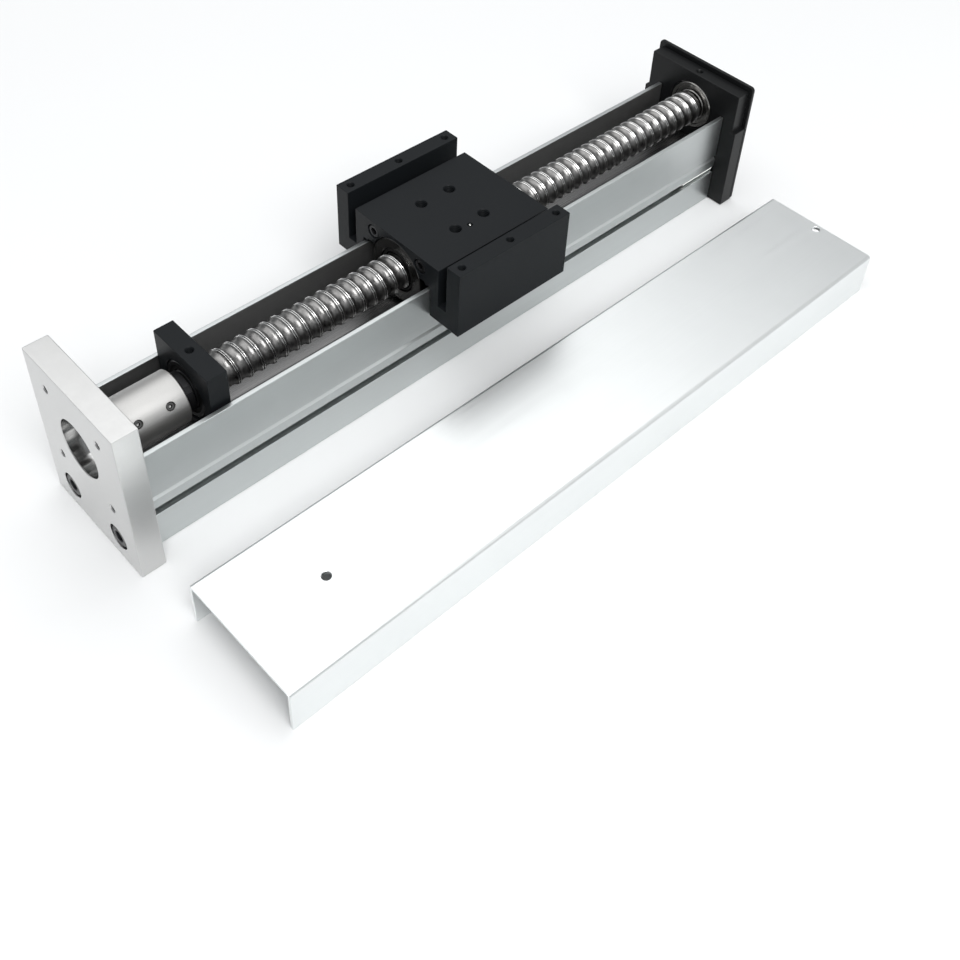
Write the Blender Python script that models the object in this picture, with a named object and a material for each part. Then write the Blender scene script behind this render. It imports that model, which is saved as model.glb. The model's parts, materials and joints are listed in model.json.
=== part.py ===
"""Ball screw linear module with its top cover taken off and laid beside it.

X runs along the screw from the motor plate to the end plate, Z is up, and the
near side is -Y.  The origin is on the underside of the extrusion, below the
screw axis and close to mid length.  The module and the loose cover both stand
on Z = 0.  Sizes are in metres.
"""

import math

import bmesh
import bpy
from mathutils import Matrix, Vector

MM = 0.001

# ---------------------------------------------------------------- driving sizes
GAP = 0.3 * MM                   # clearance between pieces that touch
ROUND = 32                       # sides of an ordinary round
SMALL_ROUND = 20                 # sides of a screw-sized round

FRONT_X = -156.0 * MM            # front face of the motor plate
AXIS_Z = 41.7 * MM               # height of the screw axis
PLATE_W = 53.0 * MM              # width of both end plates
FRONT_T = 9.3 * MM               # motor plate thickness
FRONT_H = 67.6 * MM              # motor plate height
REAR_X = FRONT_X + 304.8 * MM    # front face of the end plate
REAR_BODY_T = 6.6 * MM           # end plate without its thin outer flange
REAR_FLANGE_T = 1.7 * MM
REAR_H = 60.6 * MM

PROFILE_W = 37.4 * MM
PROFILE_H = 44.7 * MM
WALL_T = 1.8 * MM
WALL_CLEARANCE = 1.4 * MM        # over the walls, inside the carriage
FLOOR_Z = 26.0 * MM              # floor of the channel between the walls
PROFILE_X0 = FRONT_X + FRONT_T + GAP
PROFILE_X1 = REAR_X - GAP

SCREW_R = 7.5 * MM               # 15 mm over the crests of a 16 mm x 5 mm screw
LEAD = 5.0 * MM
JOURNAL_R = 4.0 * MM             # 8 mm ends that run in the bearings
BEARING_R = 11.0 * MM            # 608 bearing, 22 mm outside
BEARING_W = 6.7 * MM

BLOCK_X0 = FRONT_X + 39.5 * MM   # bearing block inside the channel
BLOCK_T = 7.8 * MM
BLOCK_W = 31.4 * MM
SEAT_Z = 58.0 * MM               # height of the two seats that carry the cover

MOTOR_PITCH = 31.0 * MM          # 42 mm motor frame, square of four M3 holes
MOTOR_PILOT_R = 11.0 * MM

CARRIAGE_X0 = FRONT_X + 132.1 * MM
CARRIAGE_L = 56.0 * MM
CARRIAGE_MID = CARRIAGE_X0 + CARRIAGE_L / 2
BLOCK_TOP_Z = 57.1 * MM
BLOCK_HALF_W = 23.5 * MM
WING_IN = 27.8 * MM
WING_OUT = 34.7 * MM
WING_TOP_Z = 61.8 * MM
WING_BOTTOM_Z = 32.4 * MM
SLIT_BOTTOM_Z = 40.0 * MM

COVER_L = 301.4 * MM
COVER_W = 52.0 * MM
COVER_H = 19.1 * MM
COVER_T = 1.3 * MM
COVER_X0 = FRONT_X + 4.0 * MM
COVER_Y = -77.0 * MM             # centre line of the cover as it lies beside

SIDES = (("near", -1), ("far", 1))

SILVER = (0.80, 0.81, 0.81)
ANODISED = (0.52, 0.54, 0.54)
BLACK = (0.022, 0.024, 0.026)
STEEL = (0.56, 0.56, 0.56)
BLACK_OXIDE = (0.015, 0.015, 0.016)


# ---------------------------------------------------------------- scene helpers
def clear_scene():
    """Start from an empty scene."""
    for obj in list(bpy.data.objects):
        bpy.data.objects.remove(obj, do_unlink=True)


def make_material(name, colour, roughness, metallic):
    """A Principled BSDF material for one piece."""
    material = bpy.data.materials.new(name)
    material.use_nodes = True
    shader = material.node_tree.nodes["Principled BSDF"]
    shader.inputs["Base Color"].default_value = (*colour, 1.0)
    shader.inputs["Roughness"].default_value = roughness
    shader.inputs["Metallic"].default_value = metallic
    material.diffuse_color = (*colour, 1.0)
    return material


def add_object(name, bm):
    """Turn a finished bmesh into an object standing at the world origin."""
    bmesh.ops.recalc_face_normals(bm, faces=bm.faces)
    mesh = bpy.data.meshes.new(name)
    bm.to_mesh(mesh)
    bm.free()
    obj = bpy.data.objects.new(name, mesh)
    bpy.context.scene.collection.objects.link(obj)
    return obj


def dress(obj, colour, roughness, metallic, origin=(0.0, 0.0, 0.0), smooth=False):
    """Give a piece its own material, its shading and the origin it moves about."""
    obj.data.materials.append(make_material(obj.name + "_mat", colour, roughness, metallic))
    if smooth:
        obj.data.shade_smooth()
        obj.data.set_sharp_from_angle(angle=math.radians(35.0))
    obj.data.transform(Matrix.Translation(-Vector(origin)))
    obj.location = origin
    return obj


# ---------------------------------------------------------------- solid helpers
def add_prism(bm, outline, start, depth):
    """Add the prism that sweeps a planar outline of 3-D points along depth."""
    near = [bm.verts.new(Vector(point) + Vector(start)) for point in outline]
    far = [bm.verts.new(vert.co + Vector(depth)) for vert in near]
    bm.faces.new(near)
    bm.faces.new(far)
    count = len(near)
    for i in range(count):
        j = (i + 1) % count
        bm.faces.new((near[i], near[j], far[j], far[i]))


def add_prism_x(bm, outline, x0, x1):
    """Add a prism along X from a (y, z) outline."""
    add_prism(bm, [(0.0, y, z) for y, z in outline], (x0, 0.0, 0.0), (x1 - x0, 0.0, 0.0))


def add_box(bm, x_range, y_range, z_range):
    """Add a plain box."""
    (y0, y1), (z0, z1) = y_range, z_range
    add_prism_x(bm, [(y0, z0), (y1, z0), (y1, z1), (y0, z1)], *x_range)


def add_turned(bm, profile, base, axis, sides=ROUND, phase=0.0):
    """Add a solid of revolution.

    profile lists (distance along axis, radius); the solid starts at base and its
    axis is a unit vector.  A profile that starts and ends at radius zero gives a
    solid bar; any other profile is closed on itself and gives a ring.
    """
    axis = Vector(axis)
    base = Vector(base)
    side = axis.orthogonal().normalized()
    up = axis.cross(side)
    rings = []
    for along, radius in profile:
        centre = base + axis * along
        if radius == 0.0:
            rings.append([bm.verts.new(centre)])
            continue
        ring = []
        for k in range(sides):
            turn = phase + 2.0 * math.pi * k / sides
            ring.append(bm.verts.new(centre + radius * (math.cos(turn) * side + math.sin(turn) * up)))
        rings.append(ring)
    solid_bar = profile[0][1] == 0.0
    pairs = list(zip(rings, rings[1:]))
    if not solid_bar:
        pairs.append((rings[-1], rings[0]))
    for first, second in pairs:
        bridge(bm, first, second, sides)


def bridge(bm, first, second, sides):
    """Join two rings, either of which may be a single point on the axis."""
    for k in range(sides):
        j = (k + 1) % sides
        if len(first) == 1:
            bm.faces.new((first[0], second[j], second[k]))
        elif len(second) == 1:
            bm.faces.new((first[k], first[j], second[0]))
        else:
            bm.faces.new((first[k], first[j], second[j], second[k]))


def add_bar_x(bm, steps, sides=ROUND, y=0.0, z=AXIS_Z):
    """Add a stepped round bar along X; steps lists (x start, x end, radius)."""
    profile = [(steps[0][0], 0.0)]
    for x0, x1, radius in steps:
        profile.append((x0, radius))
        profile.append((x1, radius))
    profile.append((steps[-1][1], 0.0))
    add_turned(bm, profile, (0.0, y, z), (1.0, 0.0, 0.0), sides)


def ring_x(name, x0, x1, inner, outer, sides=ROUND, chamfer=0.0):
    """A ring about the screw axis with chamfered outer corners."""
    profile = [(x0, inner), (x1, inner), (x1, outer - chamfer)]
    if chamfer:
        profile += [(x1 - chamfer, outer), (x0 + chamfer, outer)]
    else:
        profile.append((x1, outer))
    profile.append((x0, outer - chamfer))
    bm = bmesh.new()
    add_turned(bm, profile, (0.0, 0.0, AXIS_Z), (1.0, 0.0, 0.0), sides)
    return add_object(name, bm)


def cut(obj, cutter_bm, label="openings"):
    """Subtract a hidden cutter from a piece."""
    cutter = add_object(obj.name + "_" + label + "_cutter", cutter_bm)
    cutter.hide_render = True
    cutter.display_type = "WIRE"
    modifier = obj.modifiers.new(label, "BOOLEAN")
    modifier.operation = "DIFFERENCE"
    modifier.solver = "EXACT"
    modifier.object = cutter


def chamfered(y0, y1, z0, z1, size):
    """Outline of a rectangle with its four corners cut off."""
    return [
        (y0 + size, z0), (y1 - size, z0), (y1, z0 + size), (y1, z1 - size),
        (y1 - size, z1), (y0 + size, z1), (y0, z1 - size), (y0, z0 + size),
    ]


def rounded(y0, y1, z0, z1, radius, steps=4):
    """Outline of a rectangle with rounded corners."""
    corners = [
        (y1 - radius, z0 + radius, -90.0), (y1 - radius, z1 - radius, 0.0),
        (y0 + radius, z1 - radius, 90.0), (y0 + radius, z0 + radius, 180.0),
    ]
    outline = []
    for y, z, first in corners:
        for k in range(steps + 1):
            turn = math.radians(first + 90.0 * k / steps)
            outline.append((y + radius * math.cos(turn), z + radius * math.sin(turn)))
    return outline


def mirrored(half):
    """Close a (y, z) outline given for y >= 0 with its mirror image."""
    other = [(-y, z) for y, z in reversed(half) if y > 0.0]
    return half + other


# ---------------------------------------------------------------- fixed pieces
BOLT_Y = 14.4 * MM               # motor plate bolts
BOLT_Z = 10.2 * MM
BOLT_R = 2.5 * MM                # M5
BOLT_HEAD_R = 4.25 * MM
BOLT_HEAD_H = 4.8 * MM
BOLT_RECESS_R = 5.0 * MM

LINE_Z = 22.4 * MM               # sloping groove along both outer sides
LINE_DEPTH = 1.4 * MM
LINE_LIP_H = 0.5 * MM
RIB_HALF_W = 1.5 * MM            # low rib along the middle of the channel floor
RIB_H = 0.2 * MM

SLOT_Z = 16.75 * MM              # side slots that take the end plate bolts
SLOT_H = 3.3 * MM
SLOT_BOLT_Y = 15.6 * MM
SLOT_BOLT_R = 2.0 * MM           # M4
SLOT_BOLT_HEAD_R = 3.5 * MM
SLOT_BOLT_HEAD_H = 3.8 * MM

BLOCK_SCREW_Y = 4.6 * MM         # screws that hold the bearing block down
BLOCK_SCREW_X = BLOCK_X0 + BLOCK_T / 2
CAVITY_HALF_W = 8.5 * MM          # closed hollow in the foot of the extrusion
CAVITY_Z = (4.0 * MM, 17.0 * MM)
CAVITY_TOP_Z = CAVITY_Z[1]

COVER_HOLE_R = 1.7 * MM
TAPPED_M3_R = 1.45 * MM
REAR_SEAT_HOLE_X = REAR_X + 3.1 * MM
SEAT_HOLE_DEPTH = 6.0 * MM


def build_front_plate():
    """Motor plate: pilot bore, motor screw holes and two counterbored bolt holes."""
    bm = bmesh.new()
    half = PLATE_W / 2
    back_x = FRONT_X + FRONT_T
    add_prism_x(bm, chamfered(-half, half, 0.0, FRONT_H, 0.5 * MM), FRONT_X, back_x)
    plate = add_object("front_plate", bm)
    through = (FRONT_X - MM, back_x + MM)
    holes = bmesh.new()
    add_bar_x(holes, [(*through, MOTOR_PILOT_R)], 48)
    for y in (-MOTOR_PITCH / 2, MOTOR_PITCH / 2):
        for dz in (-MOTOR_PITCH / 2, MOTOR_PITCH / 2):
            add_bar_x(holes, [(*through, 1.7 * MM)], SMALL_ROUND, y, AXIS_Z + dz)
    recess = FRONT_X + BOLT_HEAD_H + 2 * GAP
    for _, side in SIDES:
        steps = [(through[0], recess, BOLT_RECESS_R), (recess, through[1], BOLT_R + GAP)]
        add_bar_x(holes, steps, ROUND, side * BOLT_Y, BOLT_Z)
    cut(plate, holes)
    return dress(plate, SILVER, 0.32, 1.0, smooth=True)


def profile_outline():
    """Outer outline of the extrusion: two thin walls over a thick hollow foot."""
    half = PROFILE_W / 2
    wall_in = half - WALL_T
    line_in_z = LINE_Z + LINE_DEPTH
    return mirrored([
        (0.0, 0.0),
        (half, 0.0),
        (half, LINE_Z),
        (half - LINE_DEPTH, line_in_z),
        (half, line_in_z + LINE_LIP_H),
        (half, PROFILE_H - 0.2 * MM),
        (half - 0.2 * MM, PROFILE_H),
        (wall_in, PROFILE_H),
        (wall_in, FLOOR_Z),
        (RIB_HALF_W + RIB_H, FLOOR_Z),
        (RIB_HALF_W, FLOOR_Z + RIB_H),
        (0.0, FLOOR_Z + RIB_H),
    ])


def slot_outline(side):
    """Side slot: a round screw channel that opens outwards through a narrow mouth."""
    radius = SLOT_BOLT_R + GAP
    half_mouth = SLOT_H / 2
    start = math.asin(half_mouth / radius)
    outline = [(side * (PROFILE_W / 2 + 1.0 * MM), SLOT_Z + half_mouth)]
    steps = 14
    for k in range(steps + 1):
        turn = start + (2.0 * math.pi - 2.0 * start) * k / steps
        outline.append((
            side * (SLOT_BOLT_Y + radius * math.cos(turn)),
            SLOT_Z + radius * math.sin(turn),
        ))
    outline.append((side * (PROFILE_W / 2 + 1.0 * MM), SLOT_Z - half_mouth))
    return outline


def build_base_profile():
    """U-shaped aluminium extrusion that everything is bolted to."""
    bm = bmesh.new()
    add_prism_x(bm, profile_outline(), PROFILE_X0, PROFILE_X1)
    profile = add_object("base_profile", bm)
    x0 = PROFILE_X0 - 1.0 * MM
    x1 = PROFILE_X1 + 1.0 * MM
    openings = bmesh.new()
    add_box(openings, (x0, x1), (-CAVITY_HALF_W, CAVITY_HALF_W), CAVITY_Z)
    for _, side in SIDES:
        add_bar_x(openings, [(x0, x1, BOLT_R + GAP)], SMALL_ROUND, side * BOLT_Y, BOLT_Z)
        add_prism_x(openings, slot_outline(side), x0, x1)
    cut(profile, openings)
    cut_block_screw_holes(profile)
    return dress(profile, ANODISED, 0.38, 1.0)


def cut_block_screw_holes(profile):
    """Access and clearance holes for the two screws under the bearing block."""
    holes = bmesh.new()
    up = (0.0, 0.0, 1.0)
    for _, side in SIDES:
        foot = (BLOCK_SCREW_X, side * BLOCK_SCREW_Y, 0.0)
        access_r = SLOT_BOLT_HEAD_R + GAP
        access_top = CAVITY_Z[0] + 1.0 * MM
        access = [(-1.0 * MM, 0.0), (-1.0 * MM, access_r), (access_top, access_r), (access_top, 0.0)]
        add_turned(holes, access, foot, up, SMALL_ROUND)
        clear = SLOT_BOLT_R + GAP
        shank = [(CAVITY_TOP_Z - 1.0 * MM, 0.0), (CAVITY_TOP_Z - 1.0 * MM, clear),
                 (FLOOR_Z + 1.0 * MM, clear), (FLOOR_Z + 1.0 * MM, 0.0)]
        add_turned(holes, shank, foot, up, SMALL_ROUND)
    cut(profile, holes, "block_screws")


def build_bearing_block():
    """Black block inside the channel; it holds the front bearing and the cover."""
    half = BLOCK_W / 2
    edge = 0.4 * MM
    x1 = BLOCK_X0 + BLOCK_T
    outline = [
        (BLOCK_X0 + edge, -half, 0.0), (x1 - edge, -half, 0.0), (x1, -half + edge, 0.0),
        (x1, half - edge, 0.0), (x1 - edge, half, 0.0), (BLOCK_X0 + edge, half, 0.0),
        (BLOCK_X0, half - edge, 0.0), (BLOCK_X0, -half + edge, 0.0),
    ]
    foot_z = FLOOR_Z + GAP
    bm = bmesh.new()
    add_prism(bm, outline, (0.0, 0.0, foot_z), (0.0, 0.0, SEAT_Z - foot_z))
    block = add_object("bearing_block", bm)
    pocket_x = BLOCK_X0 + BEARING_W + 2 * GAP
    holes = bmesh.new()
    pocket_steps = [(BLOCK_X0 - 1.0 * MM, pocket_x, BEARING_R + GAP), (pocket_x, x1 + 1.0 * MM, 8.5 * MM)]
    add_bar_x(holes, pocket_steps)
    top = (BLOCK_X0 + BLOCK_T / 2, 0.0, SEAT_Z - SEAT_HOLE_DEPTH * 0.7)
    add_turned(holes, hole_profile(SEAT_HOLE_DEPTH, TAPPED_M3_R), top, (0.0, 0.0, 1.0), SMALL_ROUND)
    for _, side in SIDES:
        foot = (BLOCK_SCREW_X, side * BLOCK_SCREW_Y, foot_z - 1.0 * MM)
        add_turned(holes, hole_profile(4.6 * MM, SLOT_BOLT_R + GAP), foot, (0.0, 0.0, 1.0), SMALL_ROUND)
    cut(block, holes)
    return dress(block, BLACK, 0.45, 0.6, smooth=True)


def hole_profile(depth, radius):
    """Profile of a plain round cutter that starts at its base."""
    return [(0.0, 0.0), (0.0, radius), (depth, radius), (depth, 0.0)]


def build_rear_plate():
    """Black end plate: a thin full-size flange behind a seat for the cover."""
    half = PLATE_W / 2
    seat_half = COVER_W / 2 - COVER_T - 0.2 * MM
    shoulder_z = 39.7 * MM
    x1 = REAR_X + REAR_BODY_T + REAR_FLANGE_T
    bm = bmesh.new()
    add_prism_x(bm, rounded(-half, half, 0.0, REAR_H, 1.6 * MM), REAR_X, x1)
    plate = add_object("rear_plate", bm)
    flange_x = REAR_X + REAR_BODY_T
    seat = bmesh.new()
    out = half + 2.0 * MM
    add_prism_x(seat, [
        (-out, shoulder_z), (-seat_half, shoulder_z), (-seat_half, SEAT_Z), (seat_half, SEAT_Z),
        (seat_half, shoulder_z), (out, shoulder_z), (out, REAR_H + 2.0 * MM), (-out, REAR_H + 2.0 * MM),
    ], REAR_X - 2.0 * MM, flange_x)
    cut(plate, seat, "seat")
    holes = bmesh.new()
    pocket_x = REAR_X + BEARING_W + 0.4 * MM
    add_bar_x(holes, [(REAR_X - 1.0 * MM, pocket_x, BEARING_R + GAP)])
    recess_x = x1 - SLOT_BOLT_HEAD_H - 2 * GAP
    for _, side in SIDES:
        steps = [(REAR_X - 1.0 * MM, recess_x, SLOT_BOLT_R + GAP),
                 (recess_x, x1 + 1.0 * MM, SLOT_BOLT_HEAD_R + GAP)]
        add_bar_x(holes, steps, SMALL_ROUND, side * SLOT_BOLT_Y, SLOT_Z)
    foot = (REAR_SEAT_HOLE_X, 0.0, SEAT_Z - 4.0 * MM)
    add_turned(holes, hole_profile(5.0 * MM, TAPPED_M3_R), foot, (0.0, 0.0, 1.0), SMALL_ROUND)
    cut(plate, holes, "holes")
    return dress(plate, BLACK, 0.5, 0.5, smooth=True)


def socket_screw(name, head_at, axis, head, shank, socket):
    """Socket head cap screw.

    head_at is the middle of the head's outer face and axis points down the
    shank; head and shank are (radius, length), socket is (across flats, depth).
    """
    head_r, head_h = head
    shank_r, shank_l = shank
    edge = 0.25 * MM
    bm = bmesh.new()
    add_turned(bm, [
        (0.0, 0.0), (0.0, head_r - edge), (edge, head_r), (head_h, head_r),
        (head_h, shank_r), (head_h + shank_l, shank_r), (head_h + shank_l, 0.0),
    ], head_at, axis, SMALL_ROUND)
    screw = add_object(name, bm)
    across, depth = socket
    hexagon = bmesh.new()
    start = Vector(head_at) - Vector(axis) * MM
    corner = across / math.sqrt(3.0)
    add_turned(hexagon, hole_profile(depth + MM, corner), start, axis, 6)
    cut(screw, hexagon)
    return screw


def build_front_bolt(label, side):
    """Recessed bolt that pulls the motor plate onto the extrusion."""
    head_at = (FRONT_X + GAP, side * BOLT_Y, BOLT_Z)
    screw = socket_screw("front_bolt_" + label, head_at, (1.0, 0.0, 0.0),
                         (BOLT_HEAD_R, BOLT_HEAD_H), (BOLT_R, 25.0 * MM), (4.0 * MM, 2.5 * MM))
    return dress(screw, BLACK_OXIDE, 0.4, 0.8, smooth=True)


def build_rear_bolt(label, side):
    """Bolt through the end plate; its thread shows in the side slot."""
    x1 = REAR_X + REAR_BODY_T + REAR_FLANGE_T
    head_at = (x1 - GAP, side * SLOT_BOLT_Y, SLOT_Z)
    screw = socket_screw("rear_bolt_" + label, head_at, (-1.0, 0.0, 0.0),
                         (SLOT_BOLT_HEAD_R, SLOT_BOLT_HEAD_H), (SLOT_BOLT_R, 25.0 * MM),
                         (3.0 * MM, 2.0 * MM))
    return dress(screw, STEEL, 0.35, 1.0, smooth=True)


def build_block_screw(label, side):
    """Screw inside the extrusion that holds the bearing block down."""
    head_h = 3.8 * MM
    head_at = (BLOCK_SCREW_X, side * BLOCK_SCREW_Y, CAVITY_TOP_Z - GAP - head_h)
    shank_l = FLOOR_Z + 3.0 * MM - CAVITY_TOP_Z
    screw = socket_screw("block_screw_" + label, head_at, (0.0, 0.0, 1.0),
                         (SLOT_BOLT_HEAD_R, head_h), (SLOT_BOLT_R, shank_l), (3.0 * MM, 2.0 * MM))
    return dress(screw, BLACK_OXIDE, 0.4, 0.8, smooth=True)


def build_bearing(label, x0):
    """Outer and inner race of one shielded bearing."""
    x1 = x0 + BEARING_W
    outer = ring_x(label + "_bearing_outer", x0, x1, 8.0 * MM, BEARING_R, 48, 0.3 * MM)
    dress(outer, STEEL, 0.25, 1.0, smooth=True)
    inner = ring_x(label + "_bearing_inner", x0, x1, JOURNAL_R + GAP, 7.4 * MM, 40, 0.2 * MM)
    dress(inner, STEEL, 0.2, 1.0, (x0, 0.0, AXIS_Z), smooth=True)


# ---------------------------------------------------------------- turning pieces
SHOULDER_R = 5.5 * MM
THREAD_X0 = BLOCK_X0 + BLOCK_T + 1.0 * MM
THREAD_X1 = REAR_X - 0.9 * MM
THREAD_COLUMNS = 16
# Across one turn: (share of the lead, depth below the crest).  Two stations bound
# the narrow land and two bound the bottom of the ball groove.
GROOVE_DEPTH = 0.8 * MM
THREAD_STATIONS = ((0.0, 0.0), (0.26, 0.0), (0.5, GROOVE_DEPTH), (0.77, GROOVE_DEPTH))

COUPLING_X0 = FRONT_X + 12.4 * MM
COUPLING_L = 23.4 * MM
COUPLING_R = 10.0 * MM
MOTOR_SHAFT_R = 2.5 * MM
SET_SCREW_X = (COUPLING_X0 + 5.1 * MM, COUPLING_X0 + 17.1 * MM)
SET_SCREW_TILT = math.radians(35.0)
SET_SCREW_R = 1.4 * MM

NUT_X0 = COUPLING_X0 + COUPLING_L + 0.4 * MM   # lock nut between coupling and bearing
NUT_L = 3.2 * MM
NUT_R = 7.6 * MM


def axis_ring(bm, x, radius, sides):
    """Add a ring of vertices about the screw axis."""
    ring = []
    for k in range(sides):
        turn = 2.0 * math.pi * k / sides
        ring.append(bm.verts.new((x, radius * math.cos(turn), AXIS_Z + radius * math.sin(turn))))
    return ring


def add_thread(bm, x0, x1):
    """Add the grooved length of the screw and return its two end rings.

    Every column of vertices runs along X and is shifted by its share of the
    lead, so the rows of faces follow a right-hand helix.  Stations that fall
    outside the grooved length close onto the end ring.
    """
    columns = THREAD_COLUMNS
    first_ring = axis_ring(bm, x0, SHOULDER_R, columns)
    last_ring = axis_ring(bm, x1, SHOULDER_R, columns)
    turns = int((x1 - x0) / LEAD) + 3
    margin = 0.1 * MM
    grid = []
    for k in range(columns):
        turn = 2.0 * math.pi * k / columns
        column = []
        for index in range(-2, turns):
            for share, depth in THREAD_STATIONS:
                x = x0 + LEAD * (index + share + k / columns)
                if x <= x0 + margin:
                    column.append(first_ring[k])
                elif x >= x1 - margin:
                    column.append(last_ring[k])
                else:
                    radius = SCREW_R - depth
                    place = (x, radius * math.cos(turn), AXIS_Z + radius * math.sin(turn))
                    column.append(bm.verts.new(place))
        grid.append(column)
    add_helix_faces(bm, grid)
    return first_ring, last_ring


def add_helix_faces(bm, grid):
    """Skin neighbouring columns; the last column meets the first one turn on."""
    per_turn = len(THREAD_STATIONS)
    columns = len(grid)
    for k in range(columns):
        wraps = k == columns - 1
        here = grid[k]
        after = grid[0][per_turn:] if wraps else grid[k + 1]
        for row in range(min(len(here), len(after)) - 1):
            corners = []
            for vert in (here[row], after[row], after[row + 1], here[row + 1]):
                if vert not in corners:
                    corners.append(vert)
            if len(corners) > 2:
                bm.faces.new(corners)


def build_ball_screw():
    """Ball screw: helical ball groove between two 8 mm bearing journals."""
    bm = bmesh.new()
    thread_start, thread_end = add_thread(bm, THREAD_X0, THREAD_X1)
    sides = THREAD_COLUMNS
    shoulder_x = BLOCK_X0 + BEARING_W + 2 * GAP
    front = [thread_start]
    for x, radius in ((shoulder_x, SHOULDER_R), (shoulder_x, JOURNAL_R),
                      (COUPLING_X0 + COUPLING_L / 2 + 1.0 * MM, JOURNAL_R)):
        front.append(axis_ring(bm, x, radius, sides))
    rear = [thread_end]
    for x, radius in ((THREAD_X1, JOURNAL_R), (REAR_X + BEARING_W, JOURNAL_R)):
        rear.append(axis_ring(bm, x, radius, sides))
    for rings in (front, rear):
        for first, second in zip(rings, rings[1:]):
            bridge(bm, first, second, sides)
        bm.faces.new(rings[-1])
    screw = add_object("ball_screw", bm)
    return dress(screw, STEEL, 0.22, 1.0, (THREAD_X0, 0.0, AXIS_Z), smooth=True)


def set_screw_axis():
    """Direction in which the set screws point outwards."""
    return Vector((0.0, -math.cos(SET_SCREW_TILT), math.sin(SET_SCREW_TILT)))


def build_coupling():
    """Plain sleeve coupling with a motor side bore and a screw side bore."""
    x1 = COUPLING_X0 + COUPLING_L
    middle = COUPLING_X0 + COUPLING_L / 2
    edge = 0.4 * MM
    motor_bore = MOTOR_SHAFT_R + 0.05 * MM
    screw_bore = JOURNAL_R + GAP
    bm = bmesh.new()
    add_turned(bm, [
        (COUPLING_X0, motor_bore), (COUPLING_X0, COUPLING_R - edge), (COUPLING_X0 + edge, COUPLING_R),
        (x1 - edge, COUPLING_R), (x1, COUPLING_R - edge), (x1, screw_bore),
        (middle, screw_bore), (middle, motor_bore),
    ], (0.0, 0.0, AXIS_Z), (1.0, 0.0, 0.0), 48)
    coupling = add_object("coupling", bm)
    holes = bmesh.new()
    for x in SET_SCREW_X:
        add_turned(holes, hole_profile(COUPLING_R, SET_SCREW_R + GAP), (x, 0.0, AXIS_Z),
                   set_screw_axis(), SMALL_ROUND)
    cut(coupling, holes)
    return dress(coupling, SILVER, 0.28, 1.0, (COUPLING_X0, 0.0, AXIS_Z), smooth=True)


def build_set_screw(label, x, seat_r):
    """Socket set screw in the coupling."""
    outward = set_screw_axis()
    head_r = COUPLING_R - 0.4 * MM
    length = head_r - seat_r - GAP
    head_at = Vector((x, 0.0, AXIS_Z)) + outward * head_r
    bm = bmesh.new()
    add_turned(bm, hole_profile(length, SET_SCREW_R), head_at, -outward, SMALL_ROUND)
    screw = add_object("set_screw_" + label, bm)
    hexagon = bmesh.new()
    add_turned(hexagon, hole_profile(2.5 * MM, 0.85 * MM), head_at + outward * MM, -outward, 6)
    cut(screw, hexagon)
    return dress(screw, BLACK_OXIDE, 0.35, 0.8, (x, 0.0, AXIS_Z), smooth=True)


def build_lock_nut():
    """Black slotted nut that clamps the inner race on the screw."""
    nut = ring_x("lock_nut", NUT_X0, NUT_X0 + NUT_L, JOURNAL_R + GAP, NUT_R, 32, 0.5 * MM)
    slots = bmesh.new()
    for k in range(4):
        turn = math.pi / 4 + math.pi / 2 * k
        outward = Vector((0.0, math.cos(turn), math.sin(turn)))
        across = Vector((0.0, -math.sin(turn), math.cos(turn)))
        base = Vector((NUT_X0 - MM, 0.0, AXIS_Z)) + outward * (NUT_R - 1.1 * MM)
        half = across * 1.2 * MM
        reach = outward * 3.0 * MM
        add_prism(slots, [-half, half, half + reach, -half + reach], base, (NUT_L + 2.0 * MM, 0.0, 0.0))
    cut(nut, slots)
    return dress(nut, BLACK_OXIDE, 0.4, 0.8, (NUT_X0, 0.0, AXIS_Z), smooth=True)


# ---------------------------------------------------------------- sliding pieces
NUT_BODY_R = 11.5 * MM
NUT_NOSE_R = 13.4 * MM
NUT_BORE_R = SCREW_R + 0.35 * MM
WEB_T = 5.0 * MM                 # front web of the carriage, in front of the flange
FLANGE_T = 6.0 * MM
FLANGE_X0 = CARRIAGE_X0 + WEB_T + GAP
FLANGE_X1 = FLANGE_X0 + FLANGE_T
NUT_BODY_L = 26.0 * MM
WIPER_R = 8.8 * MM
WIPER_L = 1.8 * MM
UNDERSIDE_Z = 46.9 * MM          # underside of the block between the walls
FLANGE_HALF = 16.2 * MM          # fits between the walls
FLANGE_BOTTOM_Z = 28.0 * MM
FLANGE_TOP_Z = 55.2 * MM
NUT_SCREW_Y = 13.1 * MM
NUT_SCREW_Z = 52.4 * MM
NUT_SCREW_R = 1.5 * MM           # M3
NUT_SCREW_HEAD_R = 2.7 * MM
NUT_SCREW_HEAD_H = 2.8 * MM
CARRIAGE_ORIGIN = (CARRIAGE_MID, 0.0, AXIS_Z)


def arch(radius, half_width, steps=10):
    """Points of an arch over the screw axis, from +half_width towards the top."""
    start = math.acos(half_width / radius)
    points = []
    for k in range(steps + 1):
        turn = start + (math.pi / 2 - start) * k / steps
        points.append((radius * math.cos(turn), AXIS_Z + radius * math.sin(turn)))
    points[-1] = (0.0, AXIS_Z + radius)
    return points


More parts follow.
